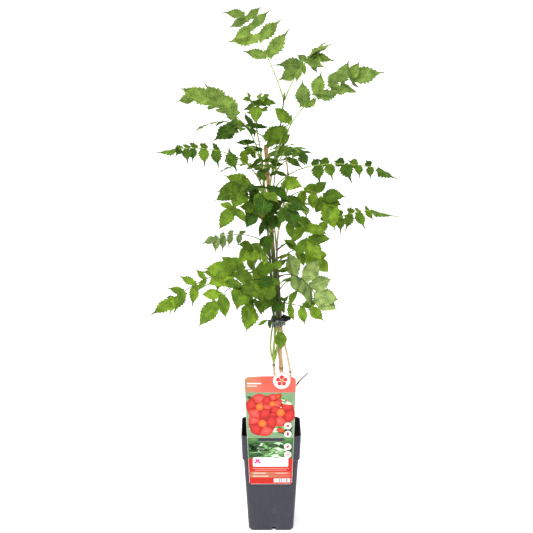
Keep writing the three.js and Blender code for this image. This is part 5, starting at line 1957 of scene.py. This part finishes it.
SMALL_LEAVES = {  # root, tip and breadth of each
    DEEP: (
        ((9, -22, 435), (27, -34, 421), 1.3), ((-4, -16, 402), (-1, -22, 382), 0.7),
        ((1, -15, 564), (0, -18, 536), 0.7), ((-12, -10, 588), (-23, -16, 550), 0.6),
        ((28, -6, 543), (43, -12, 536), 0.7), ((31, 0, 757), (37, -6, 779), 0.5),
        ((-9, -20, 448), (-17, -30, 430), 1), ((-16, -14, 756), (-57, -22, 758), 0.5),
        ((-27, -14, 754), (-1, -20, 755), 0.5), ((-31, -12, 727), (-67, -26, 727), 0.55),
        ((-16, -12, 713), (-57, -26, 720), 0.5), ((8, -12, 707), (42, -26, 718), 0.7),
        ((37, -14, 713), (68, -28, 703), 0.8), ((-15, -14, 693), (10, -26, 700), 0.6),
        ((-16, -14, 679), (-39, -24, 686), 0.6), ((-2, -14, 668), (17, -24, 679), 0.6),
        ((1, -14, 686), (26, -26, 690), 0.5), ((-23, -4, 793), (-39, -8, 799), 1),
        ((-16, 0, 798), (-9, -4, 807), 1), ((-41, -8, 787), (-50, -12, 783), 0.8),
        ((-16, -6, 783), (-4, -12, 789), 0.9), ((5, -20, 476), (-17, -34, 436), 1.2),
        ((1, -20, 448), (-11, -30, 420), 1), ((12, -14, 502), (30, -24, 519), 0.7),
        ((-6, -18, 510), (-17, -28, 491), 0.9),
        ((-2, -30, 487), (-11, -36, 446), 1.2), ((4, -16, 443), (5, -18, 402), 0.45),
        ((-16, -12, 698), (-38, -20, 685), 0.7), ((-6, -12, 695), (21, -24, 688), 0.6),
        ((-2, -12, 684), (-16, -22, 669), 0.7), ((8, -12, 673), (33, -24, 668), 0.6),
    ),
    MID: (
        ((20, -4, 719), (36, -8, 746), 0.5), ((-13, -16, 733), (26, -26, 761), 0.9),
        ((-8, -18, 719), (15, -28, 745), 0.8), ((30, -10, 698), (56, -22, 682), 0.8),
        ((-9, -2, 798), (12, -8, 794), 0.8), ((-29, -12, 782), (-29, -20, 760), 1.2),
        ((12, -14, 444), (32, -22, 437), 0.6), ((14, -12, 492), (37, -24, 501), 0.7),
        ((-27, -14, 688), (-48, -22, 678), 0.6),
    ),
    FRESH: (
        ((-8, -14, 401), (-28, -24, 391), 0.6), ((-45, -20, 689), (-53, -30, 715), 1.1),
        ((-9, -12, 661), (-29, -22, 675), 1), ((12, -10, 516), (37, -20, 526), 0.5),
    ),
}


class SmallLeaves:
    """The little leaves between the fronds, each on a short stalk from the nearest shoot."""

    ARCH = 0.14
    DROP = 6  # mm that a stalk starts below its leaf
    FACE = (0.1, -1, 0.3)
    FIRST = 60  # where its random draws start, past the fronds'

    def __init__(self, foliage: Foliage) -> None:
        """Keeps the foliage, whose blanks these leaves are copied from."""
        self.foliage = foliage

    def foot(self, root: Vector) -> Vector:
        """Where a leaf's stalk leaves the nearest green shoot."""
        shoots = (stem for name, stem in STEMS.items() if name not in WOODY)
        feet = [s.at(min(max(root.z - self.DROP, s.low), s.high - 2)) for s in shoots]
        return min(feet, key=lambda foot: (foot - root).length)

    def leaf(self, number: int, root: Vector, tip: Vector, broad: float, tone: Tone) -> Piece:
        """Models one leaf with its stalk."""
        reach, face = (tip - root).normalized(), Vector(self.FACE)
        normal = (face - reach * face.dot(reach)).normalized()
        length = (tip - root).length
        pose = Pose(root, reach, normal, normal.cross(reach), length, broad, self.ARCH)
        foot = self.foot(root)
        middle = foot.lerp(root, 0.5) - Vector((0, 0, 0.12 * (root - foot).length))
        line = [p * MM for p in (foot, middle, root, root + reach)]
        stalk = sweep("leaf_stalk", line, [0.9 * MM, 0.7 * MM, 0.6 * MM, 0.4 * MM])
        paint(stalk, self.foliage.finishes.dark_shoot)
        smooth(stalk, 60)
        blade = self.foliage.leaflet(pose, Vector(), self.FIRST + number, 0, Form.POINTED, tone)
        return join([blade, stalk], f"small_leaf_{number}")

    def build(self) -> Piece:
        """Models them all as one piece."""
        plans = [(*plan, tone) for tone, plans in SMALL_LEAVES.items() for plan in plans]
        leaves = [self.leaf(number, Vector(root), Vector(tip), broad, tone)
            for number, (root, tip, broad, tone) in enumerate(plans)]
        return hand_over(join(leaves, "small_leaves"), "leaves")


@dataclass(frozen=True)
class Studio:
    """The floor, the lights and the camera. Metres."""

    eye: Point = (-0.0085, -2.4, 1.059)
    pitch: float = 13.16  # degrees down
    lens: float = 91.65
    sensor: float = 36
    sky: float = 0.55
    sun: float = 2.5
    sun_from: Point = (-1.1, -1.7, 2.4)
    softness: float = 50  # how wide the sun is, in degrees
    glow: float = 0.55  # what the floor adds of its own, so that the shadow stays faint
    floor: float = 80  # its breadth
    far: float = 200  # how far the camera sees

    def build(self) -> None:
        """Builds the floor, the sky light, one broad soft lamp and the camera."""
        floor = added(bpy.ops.mesh.primitive_plane_add, size=self.floor)
        floor.name = "studio_floor"
        material, _, surface = Finish("studio_white", 0.9, specular=0.1).start()
        surface.inputs["Base Color"].default_value = srgb(250, 250, 250)
        surface.inputs["Emission Color"].default_value = srgb(255, 255, 255)
        surface.inputs["Emission Strength"].default_value = self.glow
        paint(floor, material)
        floor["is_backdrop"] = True
        scene = bpy.context.scene
        scene.view_settings.view_transform = "Standard"
        sky = scene.world or bpy.data.worlds.new("studio_sky")
        scene.world = sky
        sky.use_nodes = True
        light = sky.node_tree.nodes["Background"].inputs
        light["Color"].default_value = (1, 1, 1, 1)
        light["Strength"].default_value = self.sky
        sun = added(bpy.ops.object.light_add, type="SUN", location=self.sun_from)
        sun.name = "soft_sun"
        sun.data.energy = self.sun
        sun.data.angle = math.radians(self.softness)
        sun.rotation_euler = (-Vector(self.sun_from)).to_track_quat("-Z", "Y").to_euler()
        camera = added(bpy.ops.object.camera_add, location=self.eye,
            rotation=(math.radians(90 - self.pitch), 0, 0))
        camera.data.lens = self.lens
        camera.data.sensor_width = self.sensor
        camera.data.clip_end = self.far
        scene.camera = camera


def main() -> None:
    """Builds the plant in its pot, from the pot up."""
    logging.basicConfig(level=logging.INFO, format="%(message)s")
    finishes = Finishes()
    pot = Pot()
    pot.build(finishes)
    Compost().build(pot, finishes)
    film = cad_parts["label"]
    film.data.materials.clear()
    paint(film, finishes.film)
    Label().build(pot, finishes)
    CANE.build(finishes)
    for number, tie in enumerate(TIES, start=1):
        tie.build(number, finishes)
    OldWood().build(finishes)
    GreenShoots().build(finishes)
    Foliage(finishes).build()
    Studio().build()
    boxes = {"cad": CAD_BOUNDS, "visual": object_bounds()}
    {name: [list(corner) for corner in box] for name, box in boxes.items()}


if __name__ == "__main__":
    main()
